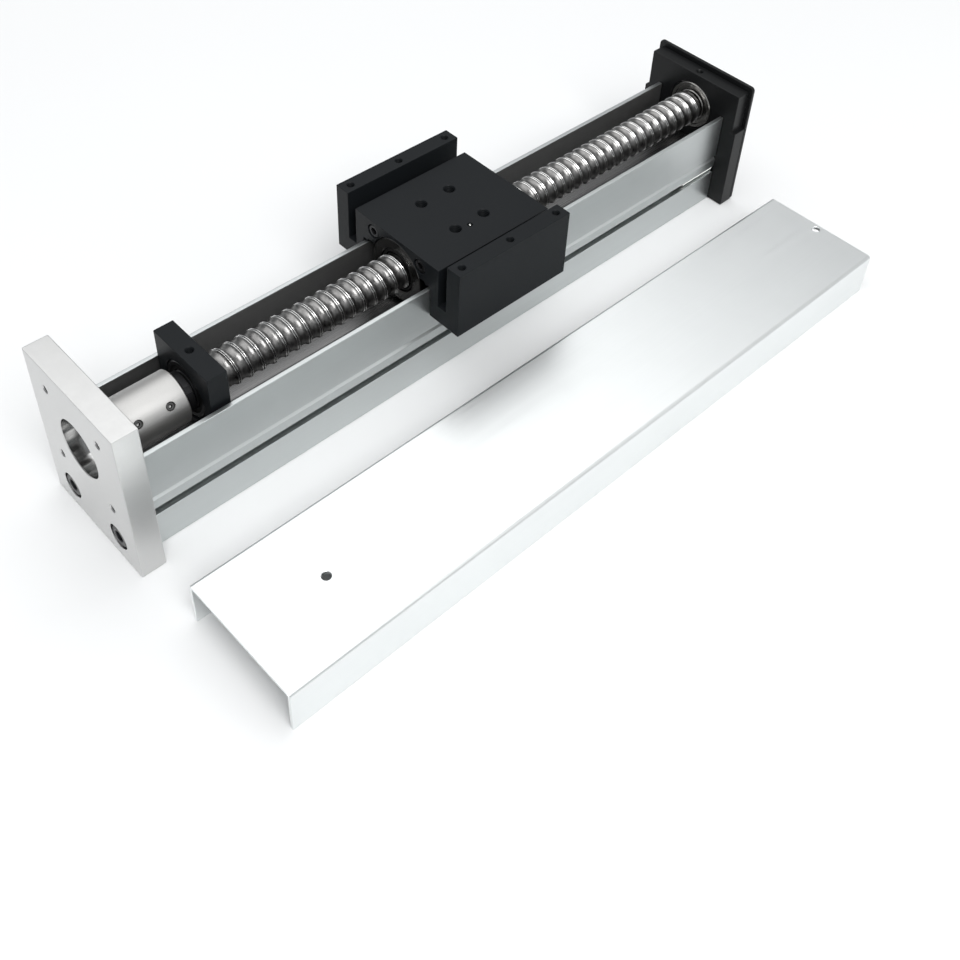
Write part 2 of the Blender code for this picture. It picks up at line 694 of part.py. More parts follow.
def carriage_outline():
    """Section of the carriage: block, cover slits, wings and wall grooves."""
    wall_clear_out = PROFILE_W / 2 + 0.35 * MM
    wall_clear_in = PROFILE_W / 2 - WALL_T - 0.1 * MM
    arch_r = NUT_BODY_R + GAP
    rise = UNDERSIDE_Z - AXIS_Z
    arch_points = arch(arch_r, math.sqrt(arch_r ** 2 - rise ** 2))
    edge = 0.5 * MM
    return mirrored([
        (0.0, BLOCK_TOP_Z),
        (BLOCK_HALF_W - edge, BLOCK_TOP_Z),
        (BLOCK_HALF_W, BLOCK_TOP_Z - edge),
        (BLOCK_HALF_W, SLIT_BOTTOM_Z),
        (WING_IN, SLIT_BOTTOM_Z),
        (WING_IN, WING_TOP_Z),
        (WING_OUT - edge, WING_TOP_Z),
        (WING_OUT, WING_TOP_Z - edge),
        (WING_OUT, WING_BOTTOM_Z),
        (wall_clear_out, WING_BOTTOM_Z),
        (wall_clear_out, PROFILE_H + WALL_CLEARANCE),
        (wall_clear_in, PROFILE_H + WALL_CLEARANCE),
        (wall_clear_in, UNDERSIDE_Z),
    ] + arch_points)


def build_carriage():
    """Black carriage that straddles both walls and carries the ball nut."""
    x1 = CARRIAGE_X0 + CARRIAGE_L
    bm = bmesh.new()
    add_prism_x(bm, carriage_outline(), CARRIAGE_X0, x1)
    carriage = add_object("carriage", bm)
    pocket = bmesh.new()
    nose_bore = NUT_NOSE_R + GAP
    add_bar_x(pocket, [(CARRIAGE_X0 - MM, FLANGE_X0 + MM, nose_bore)], 40)
    cut(carriage, pocket, "nose_bore")
    flange_pocket = bmesh.new()
    half = FLANGE_HALF + GAP
    add_box(flange_pocket, (FLANGE_X0 - GAP, FLANGE_X1 + GAP), (-half, half),
            (FLOOR_Z, FLANGE_TOP_Z + GAP))
    cut(carriage, flange_pocket, "flange_pocket")
    holes = bmesh.new()
    recess_x = CARRIAGE_X0 + NUT_SCREW_HEAD_H + 0.6 * MM
    for _, side in SIDES:
        steps = [(CARRIAGE_X0 - MM, recess_x, NUT_SCREW_HEAD_R + GAP),
                 (recess_x, FLANGE_X0, NUT_SCREW_R + GAP)]
        add_bar_x(holes, steps, SMALL_ROUND, side * NUT_SCREW_Y, NUT_SCREW_Z)
    add_top_holes(holes)
    cut(carriage, holes, "holes")
    return dress(carriage, BLACK, 0.45, 0.6, CARRIAGE_ORIGIN)


def add_top_holes(bm):
    """Tapped mounting holes in the block and the wings, and the grease port."""
    down = (0.0, 0.0, -1.0)
    above = 1.0 * MM
    block_depth = 5.5 * MM
    wing_depth = 8.0 * MM
    for dx in (-7.15 * MM, 7.15 * MM):
        for y in (-9.67 * MM, 9.67 * MM):
            base = (CARRIAGE_MID + dx, y, BLOCK_TOP_Z + above)
            add_turned(bm, hole_profile(block_depth + above, 2.15 * MM), base, down, SMALL_ROUND)
    for dx in (-23.9 * MM, 0.0, 23.9 * MM):
        for y in (-31.2 * MM, 31.2 * MM):
            base = (CARRIAGE_MID + dx, y, WING_TOP_Z + above)
            add_turned(bm, hole_profile(wing_depth + above, 1.35 * MM), base, down, SMALL_ROUND)
    base = (*grease_port_at(), BLOCK_TOP_Z + above)
    add_turned(bm, hole_profile(3.0 * MM + above, 1.1 * MM), base, down, SMALL_ROUND)


def grease_port_at():
    """Place of the grease port in the top of the block."""
    return CARRIAGE_MID - 1.4 * MM, -11.4 * MM


def build_grease_port():
    """Small steel ball oiler pressed into the top of the block."""
    base = (*grease_port_at(), BLOCK_TOP_Z - 2.6 * MM)
    bm = bmesh.new()
    add_turned(bm, [
        (0.0, 0.0), (0.0, 0.8 * MM), (2.6 * MM, 0.8 * MM), (2.9 * MM, 0.5 * MM), (3.0 * MM, 0.0),
    ], base, (0.0, 0.0, 1.0), SMALL_ROUND)
    port = add_object("grease_port", bm)
    return dress(port, STEEL, 0.2, 1.0, CARRIAGE_ORIGIN, smooth=True)


def build_ball_nut():
    """Steel ball nut: nose in the front web, clamped flange and round body."""
    body_x1 = FLANGE_X1 + NUT_BODY_L
    bm = bmesh.new()
    add_box(bm, (FLANGE_X0, FLANGE_X1), (-FLANGE_HALF, FLANGE_HALF), (FLANGE_BOTTOM_Z, FLANGE_TOP_Z))
    nut = add_object("ball_nut", bm)
    nose = bmesh.new()
    add_bar_x(nose, [(CARRIAGE_X0 + GAP, FLANGE_X0 + MM, NUT_NOSE_R)], 40)
    join(nut, nose, "nose")
    body = bmesh.new()
    body_steps = [(FLANGE_X1 - MM, body_x1, NUT_BODY_R - 0.02 * MM)]
    add_bar_x(body, body_steps, 40)
    join(nut, body, "body")
    holes = bmesh.new()
    front = CARRIAGE_X0 + GAP
    wiper_bore = WIPER_R + GAP
    wiper_depth = WIPER_L + 0.5 * MM
    add_bar_x(holes, [
        (front - MM, front + wiper_depth, wiper_bore),
        (front + wiper_depth, body_x1 - wiper_depth, NUT_BORE_R),
        (body_x1 - wiper_depth, body_x1 + MM, wiper_bore),
    ])
    for _, side in SIDES:
        add_bar_x(holes, [(FLANGE_X0 - MM, FLANGE_X1 + MM, NUT_SCREW_R + GAP)],
                  SMALL_ROUND, side * NUT_SCREW_Y, NUT_SCREW_Z)
    cut(nut, holes)
    return dress(nut, STEEL, 0.3, 1.0, CARRIAGE_ORIGIN, smooth=True)


def join(obj, part_bm, label):
    """Fuse a hidden solid onto a piece."""
    helper = add_object(obj.name + "_" + label + "_helper", part_bm)
    helper.hide_render = True
    helper.display_type = "WIRE"
    modifier = obj.modifiers.new(label, "BOOLEAN")
    modifier.operation = "UNION"
    modifier.solver = "EXACT"
    modifier.object = helper


def build_wiper(label, x0):
    """Black wiper ring seated in one end of the ball nut."""
    wiper = ring_x("nut_wiper_" + label, x0, x0 + WIPER_L, NUT_BORE_R, WIPER_R, 32)
    return dress(wiper, (0.02, 0.02, 0.02), 0.7, 0.0, CARRIAGE_ORIGIN, smooth=True)


def build_nut_screw(label, side):
    """Recessed screw through the front web into the ball nut flange."""
    head_at = (CARRIAGE_X0 + GAP, side * NUT_SCREW_Y, NUT_SCREW_Z)
    screw = socket_screw("nut_screw_" + label, head_at, (1.0, 0.0, 0.0),
                         (NUT_SCREW_HEAD_R, NUT_SCREW_HEAD_H), (NUT_SCREW_R, 7.0 * MM),
                         (2.5 * MM, 1.5 * MM))
    return dress(screw, BLACK_OXIDE, 0.4, 0.8, CARRIAGE_ORIGIN, smooth=True)


# ---------------------------------------------------------------- cover
def build_cover():
    """Thin aluminium cover: a shallow channel with two screw holes."""
    half = COVER_W / 2
    inner = half - COVER_T
    bend = 1.0 * MM
    outline = mirrored([
        (0.0, COVER_H),
        (half - bend, COVER_H),
        (half - 0.3 * bend, COVER_H - 0.3 * bend),
        (half, COVER_H - bend),
        (half, 0.0),
        (inner, 0.0),
        (inner, COVER_H - COVER_T),
        (0.0, COVER_H - COVER_T),
    ])
    outline = [(COVER_Y + y, z) for y, z in outline]
    x1 = COVER_X0 + COVER_L
    bm = bmesh.new()
    add_prism_x(bm, outline, COVER_X0, x1)
    cover = add_object("top_cover", bm)
    front_inset = BLOCK_X0 + BLOCK_T / 2 - PROFILE_X0
    mounted_x1 = PROFILE_X0 + COVER_L
    rear_inset = mounted_x1 - REAR_SEAT_HOLE_X
    holes = bmesh.new()
    for x in (COVER_X0 + front_inset, x1 - rear_inset):
        base = (x, COVER_Y, COVER_H - COVER_T - MM)
        add_turned(holes, hole_profile(COVER_T + 2.0 * MM, COVER_HOLE_R), base,
                   (0.0, 0.0, 1.0), SMALL_ROUND)
    cut(cover, holes)
    return dress(cover, ANODISED, 0.35, 1.0, (COVER_X0 + COVER_L / 2, COVER_Y, 0.0))


# ---------------------------------------------------------------- assembly
def build_base():
    """Everything that stands still."""
    build_front_plate()
    build_base_profile()
    build_rear_plate()
    build_bearing_block()
    for label, side in SIDES:
        build_front_bolt(label, side)
        build_rear_bolt(label, side)
        build_block_screw(label, side)
    build_bearing("front", BLOCK_X0 + GAP)
    build_bearing("rear", REAR_X + 0.1 * MM)


def build_turning():
    """Everything that turns with the screw."""
    build_ball_screw()
    build_coupling()
    motor_x, screw_x = SET_SCREW_X
    build_set_screw("motor_side", motor_x, MOTOR_SHAFT_R)
    build_set_screw("screw_side", screw_x, JOURNAL_R)
    build_lock_nut()


def build_sliding():
    """Everything that travels with the carriage."""
    build_carriage()
    build_ball_nut()
    build_wiper("front", CARRIAGE_X0 + 2 * GAP)
    build_wiper("rear", FLANGE_X1 + NUT_BODY_L - WIPER_L - GAP)
    build_grease_port()
    for label, side in SIDES:
        build_nut_screw(label, side)


clear_scene()
build_base()
build_turning()
build_sliding()
build_cover()
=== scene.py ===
"""Look of the ball screw linear module with its cover lying beside it.

X runs along the screw from the motor plate to the end plate, Z is up and the
near side is -Y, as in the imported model.  Sizes are in metres.
"""

import json
import math

import bmesh
import bpy
from mathutils import Matrix, Vector


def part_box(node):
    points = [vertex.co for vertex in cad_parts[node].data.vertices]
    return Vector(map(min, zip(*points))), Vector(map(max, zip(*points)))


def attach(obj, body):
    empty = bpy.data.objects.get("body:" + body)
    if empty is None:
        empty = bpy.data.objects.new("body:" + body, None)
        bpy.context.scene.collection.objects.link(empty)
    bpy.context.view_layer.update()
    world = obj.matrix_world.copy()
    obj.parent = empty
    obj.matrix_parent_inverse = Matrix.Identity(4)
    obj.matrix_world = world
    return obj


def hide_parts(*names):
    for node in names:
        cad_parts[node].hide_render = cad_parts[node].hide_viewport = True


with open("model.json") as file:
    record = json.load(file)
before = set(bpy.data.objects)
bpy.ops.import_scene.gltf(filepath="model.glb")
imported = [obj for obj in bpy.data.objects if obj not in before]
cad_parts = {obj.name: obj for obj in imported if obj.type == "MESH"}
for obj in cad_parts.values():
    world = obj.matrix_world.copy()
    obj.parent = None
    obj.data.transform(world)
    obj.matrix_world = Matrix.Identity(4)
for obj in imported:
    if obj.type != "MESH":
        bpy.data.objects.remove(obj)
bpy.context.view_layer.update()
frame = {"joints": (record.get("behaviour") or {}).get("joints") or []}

MM = 0.001
GAP = 0.3 * MM
X_AXIS = Vector((1.0, 0.0, 0.0))
Z_AXIS = Vector((0.0, 0.0, 1.0))
SIDES = (("near", -1), ("far", 1))
JOINTS = {joint["name"]: joint for joint in frame["joints"]}
AXIS_Z = JOINTS["screw_spin"]["pos_m"][2]


# ---------------------------------------------------------------- mesh helpers
def bm_object(name, bm):
    """Turn a finished bmesh into an object."""
    mesh = bpy.data.meshes.new(name)
    bm.to_mesh(mesh)
    bm.free()
    obj = bpy.data.objects.new(name, mesh)
    bpy.context.scene.collection.objects.link(obj)
    return obj


def combine(target, other, operation="DIFFERENCE"):
    """Boolean of two closed bmeshes; both are used up."""
    first = bm_object("boolean_target", target)
    second = bm_object("boolean_other", other)
    modifier = first.modifiers.new("boolean", "BOOLEAN")
    modifier.operation = operation
    modifier.solver = "EXACT"
    modifier.object = second
    depsgraph = bpy.context.evaluated_depsgraph_get()
    mesh = bpy.data.meshes.new_from_object(first.evaluated_get(depsgraph))
    result = bmesh.new()
    result.from_mesh(mesh)
    bpy.data.meshes.remove(mesh)
    for obj in (first, second):
        used = obj.data
        bpy.data.objects.remove(obj)
        bpy.data.meshes.remove(used)
    return result


def add_prism(bm, outline, start, depth):
    """Add the prism that sweeps a flat outline of 3-D points along depth."""
    near = [bm.verts.new(Vector(point) + Vector(start)) for point in outline]
    far = [bm.verts.new(vert.co + Vector(depth)) for vert in near]
    bm.faces.new(near)
    bm.faces.new(far)
    for i, vert in enumerate(near):
        j = (i + 1) % len(near)
        bm.faces.new((vert, near[j], far[j], far[i]))
    bmesh.ops.recalc_face_normals(bm, faces=bm.faces)
    return bm


def prism_x(outline, x0, x1):
    """Prism along X from a (y, z) outline."""
    points = [(0.0, y, z) for y, z in outline]
    return add_prism(bmesh.new(), points, (x0, 0.0, 0.0), (x1 - x0, 0.0, 0.0))


def rectangle(y0, y1, z0, z1):
    """Corners of a rectangle as (y, z)."""
    return [(y0, z0), (y1, z0), (y1, z1), (y0, z1)]


def rounded(y0, y1, z0, z1, radius, steps=6):
    """Outline of a rectangle with rounded corners."""
    corners = [
        (y1 - radius, z0 + radius, -90.0), (y1 - radius, z1 - radius, 0.0),
        (y0 + radius, z1 - radius, 90.0), (y0 + radius, z0 + radius, 180.0),
    ]
    outline = []
    for y, z, first in corners:
        outline += arc(y, z, radius, first, first + 90.0, steps)
    return outline


def arc(y, z, radius, first, last, steps):
    """Points of an arc in the YZ plane between two angles in degrees."""
    turns = [math.radians(first + (last - first) * k / steps) for k in range(steps + 1)]
    return [(y + radius * math.cos(turn), z + radius * math.sin(turn)) for turn in turns]


def mirrored(half):
    """Close a (y, z) outline given for y >= 0 with its mirror image."""
    return half + [(-y, z) for y, z in reversed(half) if y > 0.0]


def bevel(bm, width, segments=2, choose=None, least_angle=30.0):
    """Bevel the sharp edges that choose accepts."""
    edges = []
    for edge in bm.edges:
        if len(edge.link_faces) == 2 and edge.calc_face_angle() > math.radians(least_angle):
            if choose is None or choose(edge):
                edges.append(edge)
    bmesh.ops.bevel(bm, geom=edges, offset=width, segments=segments, profile=0.5,
                    affect="EDGES", clamp_overlap=True)
    return bm


def add_turned(bm, profile, base, axis=X_AXIS, sides=64, phase=0.0):
    """Add a solid of revolution from (distance along axis, radius) pairs.

    A profile that starts and ends at radius zero gives a solid bar; any other
    profile is closed on itself and gives a ring.
    """
    side = axis.orthogonal().normalized()
    up = axis.cross(side)
    rings = []
    for along, radius in profile:
        centre = Vector(base) + axis * along
        if radius == 0.0:
            rings.append([bm.verts.new(centre)])
            continue
        turns = [phase + 2.0 * math.pi * k / sides for k in range(sides)]
        rings.append([bm.verts.new(centre + radius * (math.cos(t) * side + math.sin(t) * up))
                      for t in turns])
    pairs = list(zip(rings, rings[1:]))
    if profile[0][1] != 0.0:
        pairs.append((rings[-1], rings[0]))
    for first, second in pairs:
        bridge(bm, first, second)
    bmesh.ops.recalc_face_normals(bm, faces=bm.faces)
    return bm


def bridge(bm, first, second):
    """Join two rings, either of which may be a single point."""
    sides = max(len(first), len(second))
    for k in range(sides):
        j = (k + 1) % sides
        if len(first) == 1:
            bm.faces.new((first[0], second[j], second[k]))
        elif len(second) == 1:
            bm.faces.new((first[k], first[j], second[0]))
        else:
            bm.faces.new((first[k], first[j], second[j], second[k]))


def through_hole(x0, x1, radius, chamfer):
    """Cutter profile for a hole from x0 to x1, chamfered at both mouths."""
    over = 1.0 * MM
    return [
        (x0 - over, 0.0), (x0 - over, radius + chamfer + over), (x0 + chamfer, radius),
        (x1 - chamfer, radius), (x1 + over, radius + chamfer + over), (x1 + over, 0.0),
    ]


def tapped_hole(depth, radius, pitch, chamfer=0.3 * MM):
    """Cutter profile for a blind tapped hole with thread ridges in its wall."""
    over = 1.0 * MM
    crest = radius - 0.3 * pitch
    profile = [(-over, 0.0), (-over, radius + chamfer + over), (chamfer, radius)]
    along = chamfer + pitch / 2
    while along < depth - pitch:
        profile += [(along, crest), (along + pitch / 2, radius)]
        along += pitch
    return profile + [(depth - pitch / 2, crest), (depth, 0.0)]


def piece(name, bm, body, material, replaced, sharp=32.0):
    """Finish a piece: shading, material, the body it rides on and what it replaces."""
    bmesh.ops.recalc_face_normals(bm, faces=bm.faces)
    obj = bm_object(name, bm)
    obj.data.materials.append(material)
    obj.data.shade_smooth()
    obj.data.set_sharp_from_angle(angle=math.radians(sharp))
    weighted = obj.modifiers.new("flat_faces_first", "WEIGHTED_NORMAL")
    weighted.keep_sharp = True
    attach(obj, body)
    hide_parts(*replaced)
    return obj


# ---------------------------------------------------------------- materials
class Nodes:
    """Small helper that wires one Principled material."""

    def __init__(self, name):
        self.material = bpy.data.materials.new(name)
        self.material.use_nodes = True
        self.tree = self.material.node_tree
        self.shader = self.tree.nodes["Principled BSDF"]
        self.place = self.add("ShaderNodeTexCoord").outputs["Object"]

    def add(self, kind, **settings):
        node = self.tree.nodes.new(kind)
        for key, value in settings.items():
            setattr(node, key, value)
        return node

    def link(self, source, target):
        self.tree.links.new(source, target)

    def noise(self, scale, detail=4.0, roughness=0.6):
        """Noise whose scale may differ along each axis, in features per metre."""
        mapping = self.add("ShaderNodeMapping")
        mapping.inputs["Scale"].default_value = scale
        self.link(self.place, mapping.inputs["Vector"])
        texture = self.add("ShaderNodeTexNoise")
        texture.inputs["Scale"].default_value = 1.0
        texture.inputs["Detail"].default_value = detail
        texture.inputs["Roughness"].default_value = roughness
        self.link(mapping.outputs["Vector"], texture.inputs["Vector"])
        return texture.outputs["Fac"]

    def ranged(self, source, low, high, first=0.3, last=0.7):
        """Map source between first and last onto low to high."""
        node = self.add("ShaderNodeMapRange")
        node.inputs["From Min"].default_value = first
        node.inputs["From Max"].default_value = last
        node.inputs["To Min"].default_value = low
        node.inputs["To Max"].default_value = high
        self.link(source, node.inputs["Value"])
        return node.outputs["Result"]

    def mixed(self, factor, first, second):
        """Mix two colours, each a tuple or a socket."""
        node = self.add("ShaderNodeMix", data_type="RGBA")
        self.link(factor, node.inputs["Factor"])
        for index, value in ((6, first), (7, second)):
            if isinstance(value, tuple):
                node.inputs[index].default_value = (*value, 1.0)
            else:
                self.link(value, node.inputs[index])
        return node.outputs[2]

    def bump(self, height, distance, strength=1.0, below=None):
        """Bump node for a height field; below chains it on another bump."""
        node = self.add("ShaderNodeBump")
        node.inputs["Strength"].default_value = strength
        node.inputs["Distance"].default_value = distance
        self.link(height, node.inputs["Height"])
        if below is not None:
            self.link(below, node.inputs["Normal"])
        return node.outputs["Normal"]


def scaled(colour, factor):
    """A colour made lighter or darker."""
    return tuple(channel * factor for channel in colour)


def metal(name, colour, roughness, grain, depth, cloud=0.06, metallic=1.0, spread=0.06, specular=0.5):
    """Bare or anodised metal.

    grain is the scale of the surface marks along each axis, in marks per metre,
    and depth their height; cloud is the slow drift in tone and spread the drift
    in roughness.
    """
    nodes = Nodes(name)
    marks = nodes.noise(grain, 6.0, 0.65)
    drift = nodes.noise((30.0, 30.0, 30.0), 3.0)
    darker, lighter = scaled(colour, 1.0 - cloud), scaled(colour, 1.0 + cloud)
    tone = nodes.mixed(nodes.ranged(drift, 0.0, 1.0), darker, lighter)
    tone = nodes.mixed(nodes.ranged(marks, 0.0, 0.5), tone, scaled(colour, 1.0 - 1.5 * cloud))
    nodes.link(tone, nodes.shader.inputs["Base Color"])
    nodes.link(nodes.ranged(marks, roughness - spread, roughness + spread), nodes.shader.inputs["Roughness"])
    nodes.link(nodes.bump(marks, depth), nodes.shader.inputs["Normal"])
    nodes.shader.inputs["Metallic"].default_value = metallic
    nodes.shader.inputs["Specular IOR Level"].default_value = specular
    return nodes.material


def screw_steel():
    """Polished steel with the fine mottling that rolling leaves in the groove."""
    nodes = Nodes("rolled_screw_steel")
    mottle = nodes.noise((900.0, 420.0, 420.0), 3.0, 0.55)
    fine = nodes.noise((5200.0, 900.0, 900.0), 3.0, 0.6)
    tone = nodes.mixed(nodes.ranged(mottle, 0.0, 1.0), (0.17, 0.168, 0.165), (0.31, 0.305, 0.30))
    nodes.link(tone, nodes.shader.inputs["Base Color"])
    nodes.link(nodes.ranged(mottle, 0.26, 0.42), nodes.shader.inputs["Roughness"])
    normal = nodes.bump(mottle, 0.11 * MM)
    normal = nodes.bump(fine, 0.010 * MM, below=normal)
    nodes.link(normal, nodes.shader.inputs["Normal"])
    nodes.shader.inputs["Metallic"].default_value = 1.0
    return nodes.material


def paint_faces(obj, material, choose):
    """Give the faces of a piece that choose accepts a second material."""
    obj.data.materials.append(material)
    for face in obj.data.polygons:
        if choose(face):
            face.material_index = len(obj.data.materials) - 1


def floor_material():
    """Matt pale table top."""
    nodes = Nodes("pale_table")
    drift = nodes.noise((2.0, 2.0, 2.0), 2.0)
    tone = nodes.mixed(nodes.ranged(drift, 0.0, 1.0), (0.79, 0.795, 0.80), (0.81, 0.815, 0.815))
    nodes.link(tone, nodes.shader.inputs["Base Color"])
    nodes.shader.inputs["Roughness"].default_value = 0.9
    nodes.shader.inputs["Specular IOR Level"].default_value = 0.0
    return nodes.material


MACHINED = metal("machined_aluminium", (0.60, 0.60, 0.595), 0.31, (500.0, 500.0, 3600.0), 0.0014 * MM,
                 0.02, spread=0.03)
BORED = metal("bored_aluminium", (0.60, 0.60, 0.595), 0.13, (40.0, 900.0, 900.0), 0.002 * MM, 0.03)
EXTRUDED = metal("satin_extrusion", (0.56, 0.585, 0.585), 0.36, (9.0, 3000.0, 3000.0), 0.002 * MM, 0.02)
# Painted shade: the inside of the channel gets darker copies of the extrusion's satin metal, grey on the
# walls and near black on the floor, standing in for the shade that falls inside the channel.
CHANNEL_WALLS_PAINTED_SHADE = metal("shaded_channel_walls", (0.44, 0.44, 0.44), 0.46, (9.0, 3000.0, 3000.0), 0.002 * MM, 0.04)
CHANNEL_FLOOR_PAINTED_SHADE = metal("channel_floor_painted_shade", (0.20, 0.20, 0.20), 0.28, (9.0, 3000.0, 3000.0), 0.002 * MM, 0.04)
SHEET = metal("satin_sheet", (0.84, 0.86, 0.86), 0.40, (12.0, 3000.0, 3000.0), 0.002 * MM, 0.02)
TURNED = metal("bead_blasted_aluminium", (0.54, 0.535, 0.525), 0.50, (2600.0, 2600.0, 2600.0),
               0.010 * MM, 0.03)
BLACK_ANODISED = metal("black_anodised", (0.009, 0.0105, 0.012), 0.42, (2200.0, 2200.0, 2200.0),
                       0.003 * MM, 0.06, 0.0, 0.04, 0.12)
BLACK_PLATE = metal("black_anodised_plate", (0.008, 0.0085, 0.009), 0.38, (2000.0, 2000.0, 2000.0),
                    0.003 * MM, 0.06, 0.0, 0.04, 0.2)
RACE = metal("polished_race_steel", (0.50, 0.49, 0.47), 0.22, (700.0, 700.0, 700.0), 0.002 * MM, 0.04)
NUT_STEEL = metal("ground_nut_steel", (0.15, 0.148, 0.145), 0.20, (700.0, 700.0, 700.0), 0.002 * MM, 0.04)
GRUB_STEEL = metal("bare_grub_steel", (0.17, 0.17, 0.168), 0.34, (1600.0, 1600.0, 1600.0), 0.004 * MM, 0.08)
OXIDE = metal("black_oxide_steel", (0.030, 0.030, 0.032), 0.38, (1600.0, 1600.0, 1600.0),
              0.004 * MM, 0.08, 0.8)
ZINC = metal("bright_screw_steel", (0.62, 0.62, 0.60), 0.24, (900.0, 900.0, 900.0), 0.004 * MM, 0.06)
RUBBER = metal("black_wiper", (0.008, 0.008, 0.008), 0.60, (2200.0, 2200.0, 2200.0), 0.008 * MM, 0.10, 0.0,
               0.05, 0.3)
SCREW = screw_steel()
# Painted highlight: the land faces either side of the seam get a far brighter steel than the screw's groove,
# standing in for the bright lines of light along each land; their lower roughness is the smoother polish of
# the crest.
CREST_PAINTED_HIGHLIGHT = metal("polished_crest_painted_highlight", (0.80, 0.795, 0.785), 0.22, (700.0, 700.0, 700.0), 0.002 * MM, 0.04)


# ---------------------------------------------------------------- fixed pieces
BOLT_Y = 14.4 * MM
BOLT_Z = 10.2 * MM
BOLT_R = 2.5 * MM
BOLT_RECESS_R = 5.0 * MM
BOLT_RECESS_DEPTH = 5.4 * MM
MOTOR_PITCH = 31.0 * MM
MOTOR_PILOT_R = 11.0 * MM
SLOT_Z = 16.75 * MM
SLOT_BOLT_Y = 15.6 * MM
SLOT_BOLT_R = 2.0 * MM
BEARING_R = 11.0 * MM
LINE_Z = 22.4 * MM
LINE_DEPTH = 1.4 * MM
LINE_LIP_H = 0.5 * MM
CHANNEL_FLOOR_Z = 26.0 * MM
CAVITY_HALF_W = 8.5 * MM
CAVITY_Z = (4.0 * MM, 17.0 * MM)
RIB_HALF_W = 1.5 * MM
RIB_H = 0.2 * MM


def build_motor_plate():
    """Bright machined plate with a pilot bore, tapped motor holes and bolt recesses."""
    low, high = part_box("front_plate")
    bm = bevel(prism_x(rectangle(low.y, high.y, low.z, high.z), low.x, high.x), 0.45 * MM, 2)
    cutter = bmesh.new()
    base = (0.0, 0.0, AXIS_Z)
    add_turned(cutter, through_hole(low.x, high.x, MOTOR_PILOT_R, 0.25 * MM), base, sides=96)
    thick = high.x - low.x
    for y in (-MOTOR_PITCH / 2, MOTOR_PITCH / 2):
        for dz in (-MOTOR_PITCH / 2, MOTOR_PITCH / 2):
            profile = tapped_hole(thick + 1.0 * MM, 1.7 * MM, 0.6 * MM, 0.1 * MM)
            add_turned(cutter, profile, (low.x, y, AXIS_Z + dz), sides=32)
    floor_x = low.x + BOLT_RECESS_DEPTH
    for _, side in SIDES:
        profile = [
            (low.x - MM, 0.0), (low.x - MM, BOLT_RECESS_R + 1.2 * MM), (low.x + 0.2 * MM, BOLT_RECESS_R),
            (floor_x, BOLT_RECESS_R), (floor_x, BOLT_R + GAP),
            (high.x + MM, BOLT_R + GAP), (high.x + MM, 0.0),
        ]
        add_turned(cutter, profile, (0.0, side * BOLT_Y, BOLT_Z), sides=48)
    plate = piece("motor_plate", combine(bm, cutter), "base", MACHINED, ["front_plate"])
    paint_faces(plate, BORED, lambda face: (
        radius_at(face.center) < MOTOR_PILOT_R + 0.1 * MM and abs(face.normal.x) < 0.5))


def extrusion_outline(half, top, wall, floor_z):
    """Section of the extrusion: two thin walls over a foot with a bolt slot each side."""
    ease = 0.12 * MM
    slot_r = SLOT_BOLT_R + GAP
    mouth = 1.65 * MM
    start = math.degrees(math.asin(mouth / slot_r))
    outline = [(0.0, 0.0), (half - 0.4 * MM, 0.0), (half, 0.4 * MM)]
    outline += [(half, SLOT_Z - mouth - ease), (half - ease, SLOT_Z - mouth)]
    outline += arc(SLOT_BOLT_Y, SLOT_Z, slot_r, 360.0 - start, start, 20)
    outline += [(half - ease, SLOT_Z + mouth), (half, SLOT_Z + mouth + ease)]
    line_in_z = LINE_Z + LINE_DEPTH
    outline += [(half, LINE_Z), (half - LINE_DEPTH, line_in_z), (half, line_in_z + LINE_LIP_H)]
    outline += arc(half - 0.3 * MM, top - 0.3 * MM, 0.3 * MM, 0.0, 90.0, 4)
    outline += arc(half - wall + 0.3 * MM, top - 0.3 * MM, 0.3 * MM, 90.0, 180.0, 4)
    outline += [(half - wall, floor_z), (RIB_HALF_W + RIB_H, floor_z), (RIB_HALF_W, floor_z + RIB_H),
                (0.0, floor_z + RIB_H)]
    return mirrored(outline)


def build_extrusion():
    """Satin U-shaped extrusion with its cavity and long bolt holes."""
    low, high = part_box("base_profile")
    wall = 1.8 * MM
    floor_z = CHANNEL_FLOOR_Z
    bm = prism_x(extrusion_outline(high.y, high.z, wall, floor_z), low.x, high.x)
    cavity = prism_x(rounded(-CAVITY_HALF_W, CAVITY_HALF_W, *CAVITY_Z, 1.0 * MM), low.x - MM, high.x + MM)
    bm = combine(bm, cavity)
    cutter = bmesh.new()
    for _, side in SIDES:
        add_turned(cutter, through_hole(low.x, high.x, BOLT_R + GAP, 0.1 * MM), (0.0, side * BOLT_Y, BOLT_Z),
                   sides=32)
    bm = combine(bm, cutter)
    block_x = sum(corner.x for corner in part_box("block_screw_far")) / 2
    screw_y = sum(corner.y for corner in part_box("block_screw_far")) / 2
    holes = bmesh.new()
    for _, side in SIDES:
        foot = (block_x, side * screw_y, 0.0)
        add_turned(holes, through_hole(-MM, 5.0 * MM, 3.8 * MM, 0.0), foot, Z_AXIS, 32)
        add_turned(holes, through_hole(16.0 * MM, 27.0 * MM, SLOT_BOLT_R + GAP, 0.0), foot, Z_AXIS, 32)
    bm = combine(bm, holes)
    profile = piece("channel_extrusion", bm, "base", EXTRUDED, ["base_profile"], 25.0)
    inner_y = high.y - wall + 0.1 * MM
    # Painted shade: the faces inside the channel take the darker wall and floor materials.
    paint_faces(profile, CHANNEL_WALLS_PAINTED_SHADE, lambda face: (
        abs(face.center.y) < inner_y and floor_z + MM < face.center.z < high.z - 0.5 * MM))
    paint_faces(profile, CHANNEL_FLOOR_PAINTED_SHADE, lambda face: (
        abs(face.center.y) < inner_y and abs(face.center.z - floor_z) < MM))


